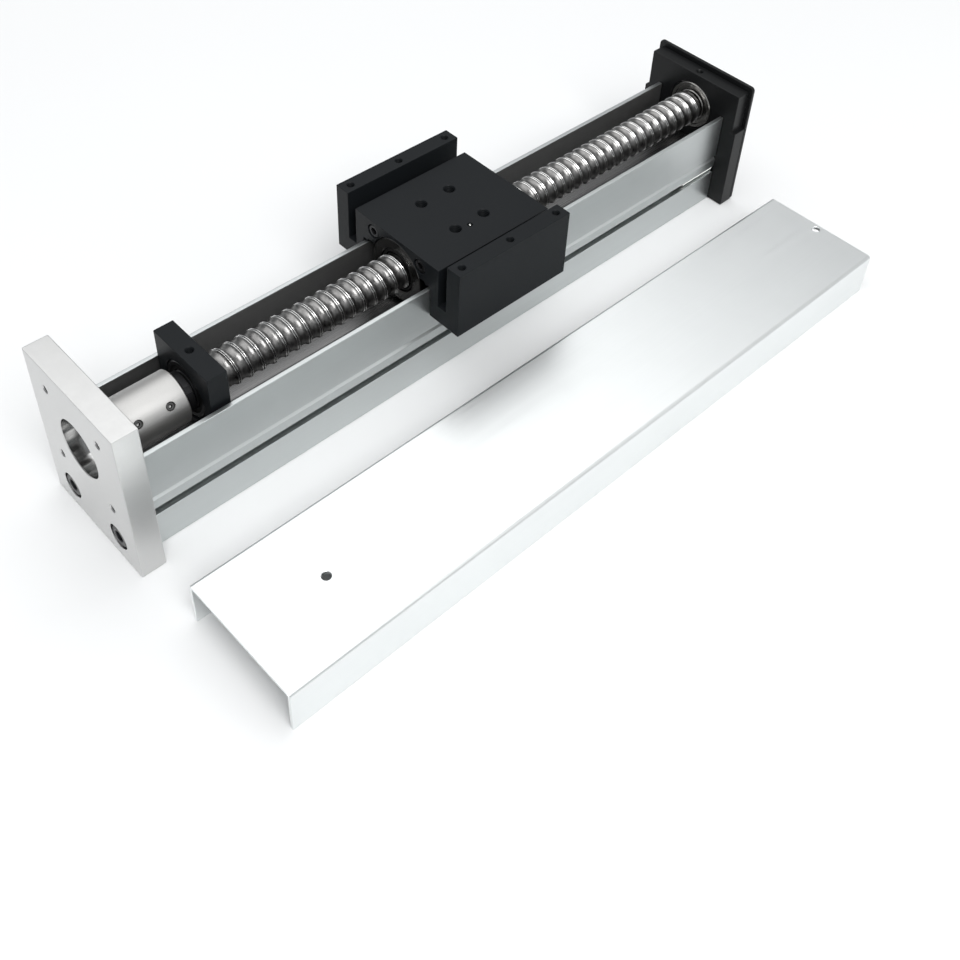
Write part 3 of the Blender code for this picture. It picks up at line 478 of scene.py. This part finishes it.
def build_end_plate():
    """Black end plate: thin round-cornered flange behind a narrower cover seat."""
    low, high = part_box("rear_plate")
    half = high.y
    seat_half = 24.5 * MM
    shoulder_z = 39.7 * MM
    seat_z = 58.0 * MM
    flange_x = high.x - 1.7 * MM
    flange = bevel(prism_x(rounded(-half, half, low.z, high.z, 1.8 * MM), flange_x, high.x), 0.35 * MM, 2)
    outline = [
        (-half + 0.2 * MM, 0.2 * MM), (half - 0.2 * MM, 0.2 * MM), (half - 0.2 * MM, shoulder_z),
        (seat_half, shoulder_z), (seat_half, seat_z), (-seat_half, seat_z), (-seat_half, shoulder_z),
        (-half + 0.2 * MM, shoulder_z),
    ]
    seat = bevel(prism_x(outline, low.x, flange_x + 0.6 * MM), 0.35 * MM, 2)
    bm = combine(flange, seat, "UNION")
    cutter = bmesh.new()
    pocket_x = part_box("rear_bearing_outer")[1].x + 0.4 * MM
    profile = [
        (low.x - MM, 0.0), (low.x - MM, BEARING_R + GAP + 1.3 * MM), (low.x + 0.3 * MM, BEARING_R + GAP),
        (pocket_x, BEARING_R + GAP), (pocket_x, 0.0),
    ]
    add_turned(cutter, profile, (0.0, 0.0, AXIS_Z), sides=96)
    recess_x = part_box("rear_bolt_far")[1].x - 4.1 * MM
    for _, side in SIDES:
        profile = [
            (low.x - MM, 0.0), (low.x - MM, SLOT_BOLT_R + GAP), (recess_x, SLOT_BOLT_R + GAP),
            (recess_x, 3.8 * MM), (high.x - 0.2 * MM, 3.8 * MM), (high.x + MM, 5.0 * MM), (high.x + MM, 0.0),
        ]
        add_turned(cutter, profile, (0.0, side * SLOT_BOLT_Y, SLOT_Z), sides=40)
    add_turned(cutter, tapped_hole(4.0 * MM, 1.5 * MM, 0.5 * MM, 0.2 * MM),
               (low.x + 3.1 * MM, 0.0, seat_z), -Z_AXIS, 32)
    piece("end_plate", combine(bm, cutter), "base", BLACK_PLATE, ["rear_plate"])


def build_bearing_housing():
    """Black block that carries the front bearing and the front of the cover."""
    low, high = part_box("bearing_block")
    bm = prism_x(rectangle(low.y, high.y, low.z, high.z), low.x, high.x)
    bevel(bm, 0.35 * MM, 2)
    cutter = bmesh.new()
    pocket_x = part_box("front_bearing_outer")[1].x + GAP
    bore = 8.5 * MM
    profile = [
        (low.x - MM, 0.0), (low.x - MM, BEARING_R + GAP + 1.3 * MM), (low.x + 0.3 * MM, BEARING_R + GAP),
        (pocket_x, BEARING_R + GAP), (pocket_x, bore), (high.x - 0.3 * MM, bore),
        (high.x + MM, bore + 1.3 * MM), (high.x + MM, 0.0),
    ]
    add_turned(cutter, profile, (0.0, 0.0, AXIS_Z), sides=96)
    middle = (low.x + high.x) / 2
    cover_hole = tapped_hole(4.2 * MM, 1.5 * MM, 0.5 * MM, 0.2 * MM)
    add_turned(cutter, cover_hole, (middle, 0.0, high.z), -Z_AXIS, 32)
    screw_y = sum(corner.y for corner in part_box("block_screw_far")) / 2
    for _, side in SIDES:
        add_turned(cutter, tapped_hole(3.4 * MM, SLOT_BOLT_R + GAP, 0.5 * MM, 0.0),
                   (middle, side * screw_y, low.z), Z_AXIS, 32)
    piece("bearing_housing", combine(bm, cutter), "base", BLACK_ANODISED, ["bearing_block"])


CAP_SCREWS = {    # head (radius, height), socket (across flats, depth), thread (radius, pitch)
    "M5": ((4.25 * MM, 4.8 * MM), (4.0 * MM, 2.5 * MM), (BOLT_R, 0.8 * MM)),
    "M4": ((3.5 * MM, 3.8 * MM), (3.0 * MM, 2.0 * MM), (SLOT_BOLT_R, 0.7 * MM)),
    "M3": ((2.7 * MM, 2.8 * MM), (2.5 * MM, 1.5 * MM), (1.5 * MM, 0.5 * MM)),
}


def build_cap_screw(name, node, outward, size, body, material):
    """Socket cap screw of one of the CAP_SCREWS sizes in the place of a CAD screw."""
    low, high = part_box(node)
    centre = (low + high) / 2
    along = max(range(3), key=lambda axis: abs(outward[axis]))
    length = high[along] - low[along]
    top = centre + outward * (length / 2)
    (head_r, head_h), (across, depth), (shank_r, pitch) = CAP_SCREWS[size]
    ease = 0.3 * MM
    profile = [(0.0, 0.0), (0.0, head_r - ease), (ease, head_r), (head_h, head_r), (head_h, shank_r)]
    distance = head_h + pitch
    while distance < length - pitch:
        profile += [(distance, shank_r - 0.55 * pitch), (distance + pitch / 2, shank_r)]
        distance += pitch
    profile += [(length, shank_r - 0.55 * pitch), (length, 0.0)]
    bm = add_turned(bmesh.new(), profile, top, -outward, 40)
    corner = across / math.sqrt(3.0)
    hexagon = [(-MM, 0.0), (-MM, corner), (depth, corner), (depth + 0.6 * MM, 0.0)]
    bm = combine(bm, add_turned(bmesh.new(), hexagon, top, -outward, 6))
    funnel = [(-MM, 0.0), (-MM, corner + 1.1 * MM), (0.25 * MM, corner - 0.15 * MM), (0.25 * MM, 0.0)]
    bm = combine(bm, add_turned(bmesh.new(), funnel, top, -outward, 32))
    return piece(name, bm, body, material, [node])


def build_fixed_screws():
    """The bolts of both plates and the screws under the bearing block."""
    for label, _ in SIDES:
        build_cap_screw("plate_bolt_" + label, "front_bolt_" + label, -X_AXIS, "M5",
                        "base", OXIDE)
        build_cap_screw("end_bolt_" + label, "rear_bolt_" + label, X_AXIS, "M4",
                        "base", ZINC)
        build_cap_screw("housing_screw_" + label, "block_screw_" + label, -Z_AXIS, "M4",
                        "base", OXIDE)


def radius_at(place):
    """Distance of a point from the screw axis."""
    return math.hypot(place.y, place.z - AXIS_Z)


def build_bearing(label):
    """Shielded ball bearing: outer race with its shield, and inner race."""
    low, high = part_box(label + "_bearing_outer")
    lip = 0.35 * MM
    shield_r = 7.55 * MM
    land = 9.2 * MM
    outer = [
        (low.x, land), (low.x, BEARING_R - lip), (low.x + lip, BEARING_R), (high.x - lip, BEARING_R),
        (high.x, BEARING_R - lip), (high.x, land), (high.x - 0.5 * MM, land - 0.2 * MM),
        (high.x - 0.5 * MM, shield_r), (high.x - 0.8 * MM, shield_r), (high.x - 0.8 * MM, land),
        (low.x + 0.8 * MM, land), (low.x + 0.8 * MM, shield_r), (low.x + 0.5 * MM, shield_r),
        (low.x + 0.5 * MM, land - 0.2 * MM),
    ]
    axis_point = (0.0, 0.0, AXIS_Z)
    bm = add_turned(bmesh.new(), outer, axis_point, sides=96)
    material = OXIDE if label == "front" else RACE
    race = piece(label + "_race_and_shields", bm, "base", material,
                 [label + "_bearing_outer"])
    if label == "front":
        paint_faces(race, RUBBER, lambda face: radius_at(face.center) < land)
    bore = 4.3 * MM
    inner_r = 7.2 * MM
    inner = [
        (low.x, bore + lip), (low.x, inner_r - lip), (low.x + lip, inner_r), (high.x - lip, inner_r),
        (high.x, inner_r - lip), (high.x, bore + lip), (high.x - lip, bore), (low.x + lip, bore),
    ]
    bm = add_turned(bmesh.new(), inner, axis_point, sides=72)
    piece(label + "_inner_race", bm, "screw", material, [label + "_bearing_inner"])


# ---------------------------------------------------------------- turning pieces
SCREW_R = 7.5 * MM
LEAD = 5.0 * MM
LAND = 0.265                     # share of the lead between two ball grooves
SEAM_HALF = 0.030                # half of the rolled seam along a land, as a share of the lead
SHOULDER_R = 5.5 * MM
JOURNAL_R = 4.0 * MM
COUPLING_R = 10.0 * MM
SET_SCREW_TILT = math.radians(35.0)
SET_SCREW_OUT = Vector((0.0, -math.cos(SET_SCREW_TILT), math.sin(SET_SCREW_TILT)))


def thread_stations():
    """Across one turn: (share of the lead, radius), a seamed land and a ball groove."""
    lip = 0.20 * MM
    depth = 0.62 * MM
    seam_depth = 0.36 * MM
    seam_bottom_half = 0.0125
    ridge = ((0.0, lip), (0.025, 0.06 * MM), (0.055, 0.0), (0.085, 0.05 * MM), (0.105, 0.18 * MM),
             (LAND / 2 - seam_bottom_half, seam_depth))
    stations = [(share, SCREW_R - drop) for share, drop in ridge]
    stations += [(LAND - share, SCREW_R - drop) for share, drop in reversed(ridge)]
    steps = 12
    for k in range(1, steps):
        across = 2.0 * k / steps - 1.0
        sag = (1.0 - abs(across) ** 2.2) ** 0.85
        stations.append((LAND + (1.0 - LAND) * k / steps, SCREW_R - lip - depth * sag))
    return stations


def axis_ring(bm, x, radius, sides):
    """Ring of vertices about the screw axis."""
    turns = [2.0 * math.pi * k / sides for k in range(sides)]
    return [bm.verts.new((x, radius * math.cos(turn), AXIS_Z + radius * math.sin(turn))) for turn in turns]


def add_helix(bm, x0, x1, columns, stations, lead, end_radius):
    """Add a right-hand helical surface from x0 to x1; returns its two end rings."""
    first_ring = axis_ring(bm, x0, end_radius, columns)
    last_ring = axis_ring(bm, x1, end_radius, columns)
    margin = 0.02 * lead
    grid = []
    for k in range(columns):
        turn = 2.0 * math.pi * k / columns
        column = []
        for index in range(-2, int((x1 - x0) / lead) + 3):
            for share, radius in stations:
                x = x0 + lead * (index + share + k / columns)
                if x <= x0 + margin:
                    column.append(first_ring[k])
                elif x >= x1 - margin:
                    column.append(last_ring[k])
                else:
                    place = (x, radius * math.cos(turn), AXIS_Z + radius * math.sin(turn))
                    column.append(bm.verts.new(place))
        grid.append(column)
    for k in range(columns):
        here = grid[k]
        after = grid[k + 1] if k < columns - 1 else grid[0][len(stations):]
        for row in range(min(len(here), len(after)) - 1):
            corners = []
            for vert in (here[row], after[row], after[row + 1], here[row + 1]):
                if vert not in corners:
                    corners.append(vert)
            if len(corners) > 2:
                bm.faces.new(corners)
    return first_ring, last_ring


def build_screw():
    """Ball screw with its helical groove and turned ends."""
    low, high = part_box("ball_screw")
    thread_x0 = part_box("bearing_block")[1].x + 1.0 * MM
    thread_x1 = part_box("rear_bearing_outer")[0].x - 0.9 * MM
    columns = 72
    bm = bmesh.new()
    start, end = add_helix(bm, thread_x0, thread_x1, columns, thread_stations(), LEAD, SHOULDER_R)
    shoulder_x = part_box("front_bearing_inner")[1].x + 0.6 * MM
    ease = 0.3 * MM
    front = [start]
    for x, radius in ((shoulder_x, SHOULDER_R), (shoulder_x, JOURNAL_R), (low.x + ease, JOURNAL_R),
                      (low.x, JOURNAL_R - ease)):
        front.append(axis_ring(bm, x, radius, columns))
    rear = [end]
    for x, radius in ((thread_x1, JOURNAL_R), (high.x - ease, JOURNAL_R), (high.x, JOURNAL_R - ease)):
        rear.append(axis_ring(bm, x, radius, columns))
    for rings in (front, rear):
        for first, second in zip(rings, rings[1:]):
            bridge(bm, first, second)
        bm.faces.new(rings[-1])
    screw = piece("grooved_screw", bm, "screw", SCREW, ["ball_screw"], 40.0)
    land_depth = 0.5 * MM

    def off_land_middle(face):
        """Distance of a thread face from the middle of its land, as a share of the lead."""
        turn = math.atan2(face.center.z - AXIS_Z, face.center.y)
        share = ((face.center.x - thread_x0) / LEAD - turn / (2.0 * math.pi)) % 1.0
        on_land = radius_at(face.center) > SCREW_R - land_depth
        return abs(share - LAND / 2) if on_land else 1.0

    # The seam faces along the middle of each land take the black steel, which draws a dark line down every
    # land.
    paint_faces(screw, OXIDE, lambda face: off_land_middle(face) < SEAM_HALF)
    # Painted highlight: the land faces beside the seam take the bright crest steel.
    paint_faces(screw, CREST_PAINTED_HIGHLIGHT, lambda face: SEAM_HALF < off_land_middle(face) < LAND / 2)


def build_coupling():
    """Bead-blasted sleeve coupling with its two set screws."""
    low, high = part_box("coupling")
    middle = (low.x + high.x) / 2
    ease = 0.4 * MM
    motor_bore = 2.55 * MM
    screw_bore = JOURNAL_R + GAP
    bm = add_turned(bmesh.new(), [
        (low.x, motor_bore + ease), (low.x, COUPLING_R - ease), (low.x + ease, COUPLING_R),
        (high.x - ease, COUPLING_R), (high.x, COUPLING_R - ease), (high.x, screw_bore + ease),
        (high.x - ease, screw_bore), (middle, screw_bore), (middle, motor_bore), (low.x + ease, motor_bore),
    ], (0.0, 0.0, AXIS_Z), sides=96)
    cutter = bmesh.new()
    hole_r = 1.6 * MM
    set_screws = (("motor_side", low.x + 5.1 * MM, motor_bore), ("screw_side", low.x + 17.1 * MM, screw_bore))
    for _, x, _ in set_screws:
        profile = [(0.0, 0.0), (0.0, hole_r), (COUPLING_R - 0.15 * MM, hole_r),
                   (COUPLING_R + MM, hole_r + 0.9 * MM), (COUPLING_R + MM, 0.0)]
        add_turned(cutter, profile, (x, 0.0, AXIS_Z), SET_SCREW_OUT, 40)
    piece("sleeve_coupling", combine(bm, cutter), "screw", TURNED, ["coupling"])
    for label, x, seat in set_screws:
        build_set_screw(label, x, seat)


def build_set_screw(label, x, seat):
    """Socket set screw sunk just below the skin of the coupling."""
    top = Vector((x, 0.0, AXIS_Z)) + SET_SCREW_OUT * (COUPLING_R - 0.5 * MM)
    length = COUPLING_R - 0.5 * MM - seat - GAP
    radius = 1.45 * MM
    ease = 0.2 * MM
    profile = [(0.0, 0.0), (0.0, radius - ease), (ease, radius), (length, radius), (length, 0.0)]
    bm = add_turned(bmesh.new(), profile, top, -SET_SCREW_OUT, 32)
    corner = 0.85 * MM
    hexagon = [(-MM, 0.0), (-MM, corner), (1.4 * MM, corner), (1.8 * MM, 0.0)]
    bm = combine(bm, add_turned(bmesh.new(), hexagon, top, -SET_SCREW_OUT, 6))
    piece("grub_screw_" + label, bm, "screw", GRUB_STEEL, ["set_screw_" + label])


def build_lock_nut():
    """Black nut with four slots along its rim."""
    low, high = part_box("lock_nut")
    radius = 7.6 * MM
    ease = 0.5 * MM
    bore = JOURNAL_R + GAP
    bm = add_turned(bmesh.new(), [
        (low.x, bore + ease), (low.x, radius - ease), (low.x + ease, radius), (high.x - ease, radius),
        (high.x, radius - ease), (high.x, bore),
    ], (0.0, 0.0, AXIS_Z), sides=72)
    cutter = bmesh.new()
    for k in range(4):
        turn = math.pi / 4 + math.pi / 2 * k
        outward = Vector((0.0, math.cos(turn), math.sin(turn)))
        across = Vector((0.0, -math.sin(turn), math.cos(turn))) * 1.2 * MM
        base = Vector((low.x - MM, 0.0, AXIS_Z)) + outward * (radius - 1.1 * MM)
        reach = outward * 3.0 * MM
        depth = (high.x - low.x + 2.0 * MM, 0.0, 0.0)
        add_prism(cutter, [-across, across, across + reach, -across + reach], base, depth)
    piece("slotted_nut", combine(bm, cutter), "screw", OXIDE, ["lock_nut"])


# ---------------------------------------------------------------- sliding pieces
NUT_BODY_R = 11.5 * MM
NUT_NOSE_R = 13.4 * MM
NUT_BORE_R = SCREW_R + 0.35 * MM
WEB_T = 5.0 * MM
FLANGE_T = 6.0 * MM
UNDERSIDE_Z = 46.9 * MM
FLANGE_HALF = 16.2 * MM
FLANGE_TOP_Z = 55.2 * MM
NUT_SCREW_Y = 13.1 * MM
NUT_SCREW_Z = 52.4 * MM
BLOCK_TOP_Z = 57.1 * MM
TOP_HOLE_X = 7.15 * MM           # large tapped holes from the middle of the block
TOP_HOLE_Y = 9.67 * MM
WING_HOLE_PITCH = 23.9 * MM
WING_HOLE_Y = 31.2 * MM


def carriage_outline():
    """Section of the carriage: block, cover slits, wings and grooves for the walls."""
    profile_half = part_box("base_profile")[1].y
    profile_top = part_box("base_profile")[1].z
    wing_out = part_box("carriage")[1].y
    block_half = 23.5 * MM
    wing_in = 27.8 * MM
    slit_z = 40.0 * MM
    wing_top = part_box("carriage")[1].z
    wing_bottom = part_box("carriage")[0].z
    clear_out = profile_half + 0.35 * MM
    clear_in = profile_half - 1.9 * MM
    groove_z = profile_top + 1.4 * MM
    arch_r = NUT_BODY_R + GAP
    rise = UNDERSIDE_Z - AXIS_Z
    first = math.degrees(math.asin(rise / arch_r))
    half = [
        (0.0, BLOCK_TOP_Z), (block_half, BLOCK_TOP_Z), (block_half, slit_z), (wing_in, slit_z),
        (wing_in, wing_top), (wing_out, wing_top), (wing_out, wing_bottom), (clear_out, wing_bottom),
        (clear_out, groove_z - 0.4 * MM),
        (clear_out - 0.4 * MM, groove_z), (clear_in + 0.4 * MM, groove_z), (clear_in, groove_z - 0.4 * MM),
        (clear_in, UNDERSIDE_Z - 1.2 * MM), (clear_in - 0.9 * MM, UNDERSIDE_Z),
    ]
    arch = arc(0.0, AXIS_Z, arch_r, first, 90.0, 24)
    arch[-1] = (0.0, AXIS_Z + arch_r)
    return mirrored(half + arch)


def build_carriage():
    """Black carriage with its nut pocket, tapped holes and cover slits."""
    low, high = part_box("carriage")
    middle = (low.x + high.x) / 2
    bm = bevel(prism_x(carriage_outline(), low.x, high.x), 0.22 * MM, 2)
    bore = NUT_NOSE_R + GAP
    nose = [(low.x - MM, 0.0), (low.x - MM, bore + 1.2 * MM), (low.x + 0.2 * MM, bore),
            (low.x + WEB_T + MM, bore), (low.x + WEB_T + MM, 0.0)]
    bm = combine(bm, add_turned(bmesh.new(), nose, (0.0, 0.0, AXIS_Z), sides=96))
    half = FLANGE_HALF + GAP
    pocket = rectangle(-half, half, CHANNEL_FLOOR_Z, FLANGE_TOP_Z + GAP)
    bm = combine(bm, prism_x(pocket, low.x + WEB_T, low.x + WEB_T + FLANGE_T + 2 * GAP))
    cutter = bmesh.new()
    recess_x = low.x + 3.4 * MM
    for _, side in SIDES:
        recess_r = 3.0 * MM
        profile = [
            (low.x - MM, 0.0), (low.x - MM, recess_r + 1.15 * MM), (low.x + 0.15 * MM, recess_r),
            (recess_x, recess_r), (recess_x, 1.8 * MM), (low.x + WEB_T + 0.4 * MM, 1.8 * MM),
            (low.x + WEB_T + 0.4 * MM, 0.0),
        ]
        add_turned(cutter, profile, (0.0, side * NUT_SCREW_Y, NUT_SCREW_Z), sides=48)
    for dx in (-TOP_HOLE_X, TOP_HOLE_X):
        for y in (-TOP_HOLE_Y, TOP_HOLE_Y):
            add_turned(cutter, tapped_hole(5.5 * MM, 2.35 * MM, 0.8 * MM, 0.1 * MM),
                       (middle + dx, y, BLOCK_TOP_Z), -Z_AXIS, 48)
    for dx in (-WING_HOLE_PITCH, 0.0, WING_HOLE_PITCH):
        for y in (-WING_HOLE_Y, WING_HOLE_Y):
            add_turned(cutter, tapped_hole(8.0 * MM, 1.5 * MM, 0.5 * MM, 0.15 * MM),
                       (middle + dx, y, high.z), -Z_AXIS, 32)
    port_low, port_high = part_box("grease_port")
    port = (port_low + port_high) / 2
    add_turned(cutter, [(-MM, 0.0), (-MM, 1.1 * MM), (3.0 * MM, 1.1 * MM), (3.0 * MM, 0.0)],
               (port.x, port.y, BLOCK_TOP_Z), -Z_AXIS, 32)
    piece("carriage_block", combine(bm, cutter), "carriage", BLACK_ANODISED, ["carriage"])
    ball_r = 0.6 * MM
    oiler = [(0.0, 0.0), (0.0, ball_r), (2.2 * MM, ball_r)]
    for turn in (20.0, 40.0, 60.0, 80.0):
        angle = math.radians(turn)
        oiler.append((2.2 * MM + ball_r * math.sin(angle), ball_r * math.cos(angle)))
    oiler.append((3.0 * MM, 0.0))
    bm = add_turned(bmesh.new(), oiler, (port.x, port.y, port_low.z), Z_AXIS, 32)
    piece("ball_oiler", bm, "carriage", ZINC, ["grease_port"])


def build_ball_nut():
    """Steel nut: round nose, clamped flange, round body and a wiper at each end."""
    low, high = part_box("ball_nut")
    flange_x0 = low.x + WEB_T
    flange_x1 = flange_x0 + FLANGE_T
    flange = rectangle(-FLANGE_HALF, FLANGE_HALF, low.z, FLANGE_TOP_Z)
    bm = bevel(prism_x(flange, flange_x0, flange_x1), 0.2 * MM, 1)
    nose_edge = 0.25 * MM
    nose = [(low.x, 0.0), (low.x, NUT_NOSE_R - nose_edge), (low.x + nose_edge, NUT_NOSE_R),
            (flange_x0 + MM, NUT_NOSE_R), (flange_x0 + MM, 0.0)]
    bm = combine(bm, add_turned(bmesh.new(), nose, (0.0, 0.0, AXIS_Z), sides=96), "UNION")
    body = [(flange_x1 - MM, 0.0), (flange_x1 - MM, NUT_BODY_R), (high.x - 0.4 * MM, NUT_BODY_R),
            (high.x, NUT_BODY_R - 0.4 * MM), (high.x, 0.0)]
    bm = combine(bm, add_turned(bmesh.new(), body, (0.0, 0.0, AXIS_Z), sides=72), "UNION")
    seat = 9.1 * MM
    depth = 2.3 * MM
    bore = [
        (low.x - MM, 0.0), (low.x - MM, seat + 1.2 * MM), (low.x + 0.2 * MM, seat), (low.x + depth, seat),
        (low.x + depth, NUT_BORE_R), (high.x - depth, NUT_BORE_R), (high.x - depth, seat),
        (high.x - 0.2 * MM, seat), (high.x + MM, seat + 1.2 * MM), (high.x + MM, 0.0),
    ]
    cutter = add_turned(bmesh.new(), bore, (0.0, 0.0, AXIS_Z), sides=72)
    for _, side in SIDES:
        add_turned(cutter, through_hole(flange_x0, flange_x1, 1.8 * MM, 0.1 * MM),
                   (0.0, side * NUT_SCREW_Y, NUT_SCREW_Z), sides=24)
    piece("recirculating_nut", combine(bm, cutter), "carriage", NUT_STEEL, ["ball_nut"])
    for label in ("front", "rear"):
        build_wiper(label)
    for label, _ in SIDES:
        build_cap_screw("flange_screw_" + label, "nut_screw_" + label, -X_AXIS, "M3",
                        "carriage", OXIDE)


def build_wiper(label):
    """Black wiper ring with a lip that nearly touches the screw."""
    low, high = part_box("nut_wiper_" + label)
    outer = 8.8 * MM
    bore = NUT_BORE_R - 0.1 * MM
    profile = [(low.x, bore), (low.x, outer - 0.2 * MM), (low.x + 0.2 * MM, outer), (high.x, outer),
               (high.x, bore + 0.5 * MM), (low.x + 0.7 * MM, bore)]
    bm = add_turned(bmesh.new(), profile, (0.0, 0.0, AXIS_Z), sides=72)
    piece("wiper_" + label, bm, "carriage", RUBBER, ["nut_wiper_" + label])


# ---------------------------------------------------------------- cover
def build_cover():
    """Folded sheet cover with round bends and two lightly chamfered holes."""
    low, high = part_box("top_cover")
    centre_y = (low.y + high.y) / 2
    half = high.y - centre_y
    thick = 1.3 * MM
    bend = 1.6 * MM
    inner_bend = bend - thick
    outline = [(0.0, high.z)] + list(reversed(arc(half - bend, high.z - bend, bend, 0.0, 90.0, 8)))
    outline += [(half, low.z), (half - thick, low.z)]
    outline += arc(half - bend, high.z - bend, inner_bend, 0.0, 90.0, 4) + [(0.0, high.z - thick)]
    outline = [(centre_y + y, z) for y, z in mirrored(outline)]
    bm = bevel(prism_x(outline, low.x, high.x), 0.12 * MM, 2)
    cutter = bmesh.new()
    radius = 1.7 * MM
    front_inset = 33.8 * MM
    rear_inset = 3.1 * MM
    for x in (low.x + front_inset, high.x - rear_inset):
        profile = [(-thick - MM, 0.0), (-thick - MM, radius), (-0.15 * MM, radius), (MM, radius + 1.15 * MM),
                   (MM, 0.0)]
        add_turned(cutter, profile, (x, centre_y, high.z), Z_AXIS, 40)
    piece("folded_cover", combine(bm, cutter), "cover", SHEET, ["top_cover"], 25.0)


# ---------------------------------------------------------------- room
def build_floor():
    """Pale table top under the module."""
    bm = bmesh.new()
    reach = 4.0
    corners = [(-reach, -reach), (reach, -reach), (reach, reach), (-reach, reach)]
    bm.faces.new([bm.verts.new((x, y, -0.05 * MM)) for x, y in corners])
    floor = bm_object("table_top", bm)
    floor.data.materials.append(floor_material())


def add_softbox(name, place, target, size, radiance):
    """Rectangular studio light that faces the target; size is (width, height)."""
    width, height = size
    light = bpy.data.lights.new(name, "AREA")
    light.shape = "RECTANGLE"
    light.size = width
    light.size_y = height
    light.energy = radiance * math.pi * width * height
    obj = bpy.data.objects.new(name, light)
    bpy.context.scene.collection.objects.link(obj)
    obj.location = place
    obj.rotation_euler = (Vector(target) - Vector(place)).to_track_quat("-Z", "Y").to_euler()


def build_lights():
    """Dim pale surroundings, a ceiling panel behind, a key light and a side panel in front."""
    world = bpy.data.worlds.new("studio")
    bpy.context.scene.world = world
    world.use_nodes = True
    background = world.node_tree.nodes["Background"]
    background.inputs["Color"].default_value = (0.95, 0.98, 1.0, 1.0)
    background.inputs["Strength"].default_value = 0.30
    add_softbox("ceiling_panel", (0.25, 0.7, 1.5), (0.25, 0.7, 0.0), (2.3, 2.0), 1.4)
    add_softbox("key_light", (-0.4, -0.9, 1.3), (0.0, -0.03, 0.0), (0.9, 0.9), 7.6)
    add_softbox("side_panel", (0.75, -0.95, 0.75), (0.0, -0.03, 0.0), (0.8, 0.6), 1.0)


def build_camera():
    """Camera above the front near corner, looking along the module."""
    data = bpy.data.cameras.new("camera")
    data.sensor_width = 36.0
    data.lens = 47.305
    data.shift_x = -0.02665
    data.shift_y = -0.20158
    camera = bpy.data.objects.new("camera", data)
    bpy.context.scene.collection.objects.link(camera)
    right = Vector((0.71785, -0.69410, 0.05402)).normalized()
    forward = Vector((0.54082, 0.50709, -0.67110)).normalized()
    up = right.cross(forward)
    turn = Matrix((right, up, -forward)).transposed()
    camera.matrix_world = Matrix.Translation((-0.25305, -0.27170, 0.35727)) @ turn.to_4x4()
    bpy.context.scene.camera = camera
    bpy.context.scene.view_settings.view_transform = "Standard"


build_motor_plate()
build_extrusion()
build_end_plate()
build_bearing_housing()
build_fixed_screws()
for bearing_label in ("front", "rear"):
    build_bearing(bearing_label)
build_screw()
build_coupling()
build_lock_nut()
build_carriage()
build_ball_nut()
build_cover()
build_floor()
build_lights()
build_camera()
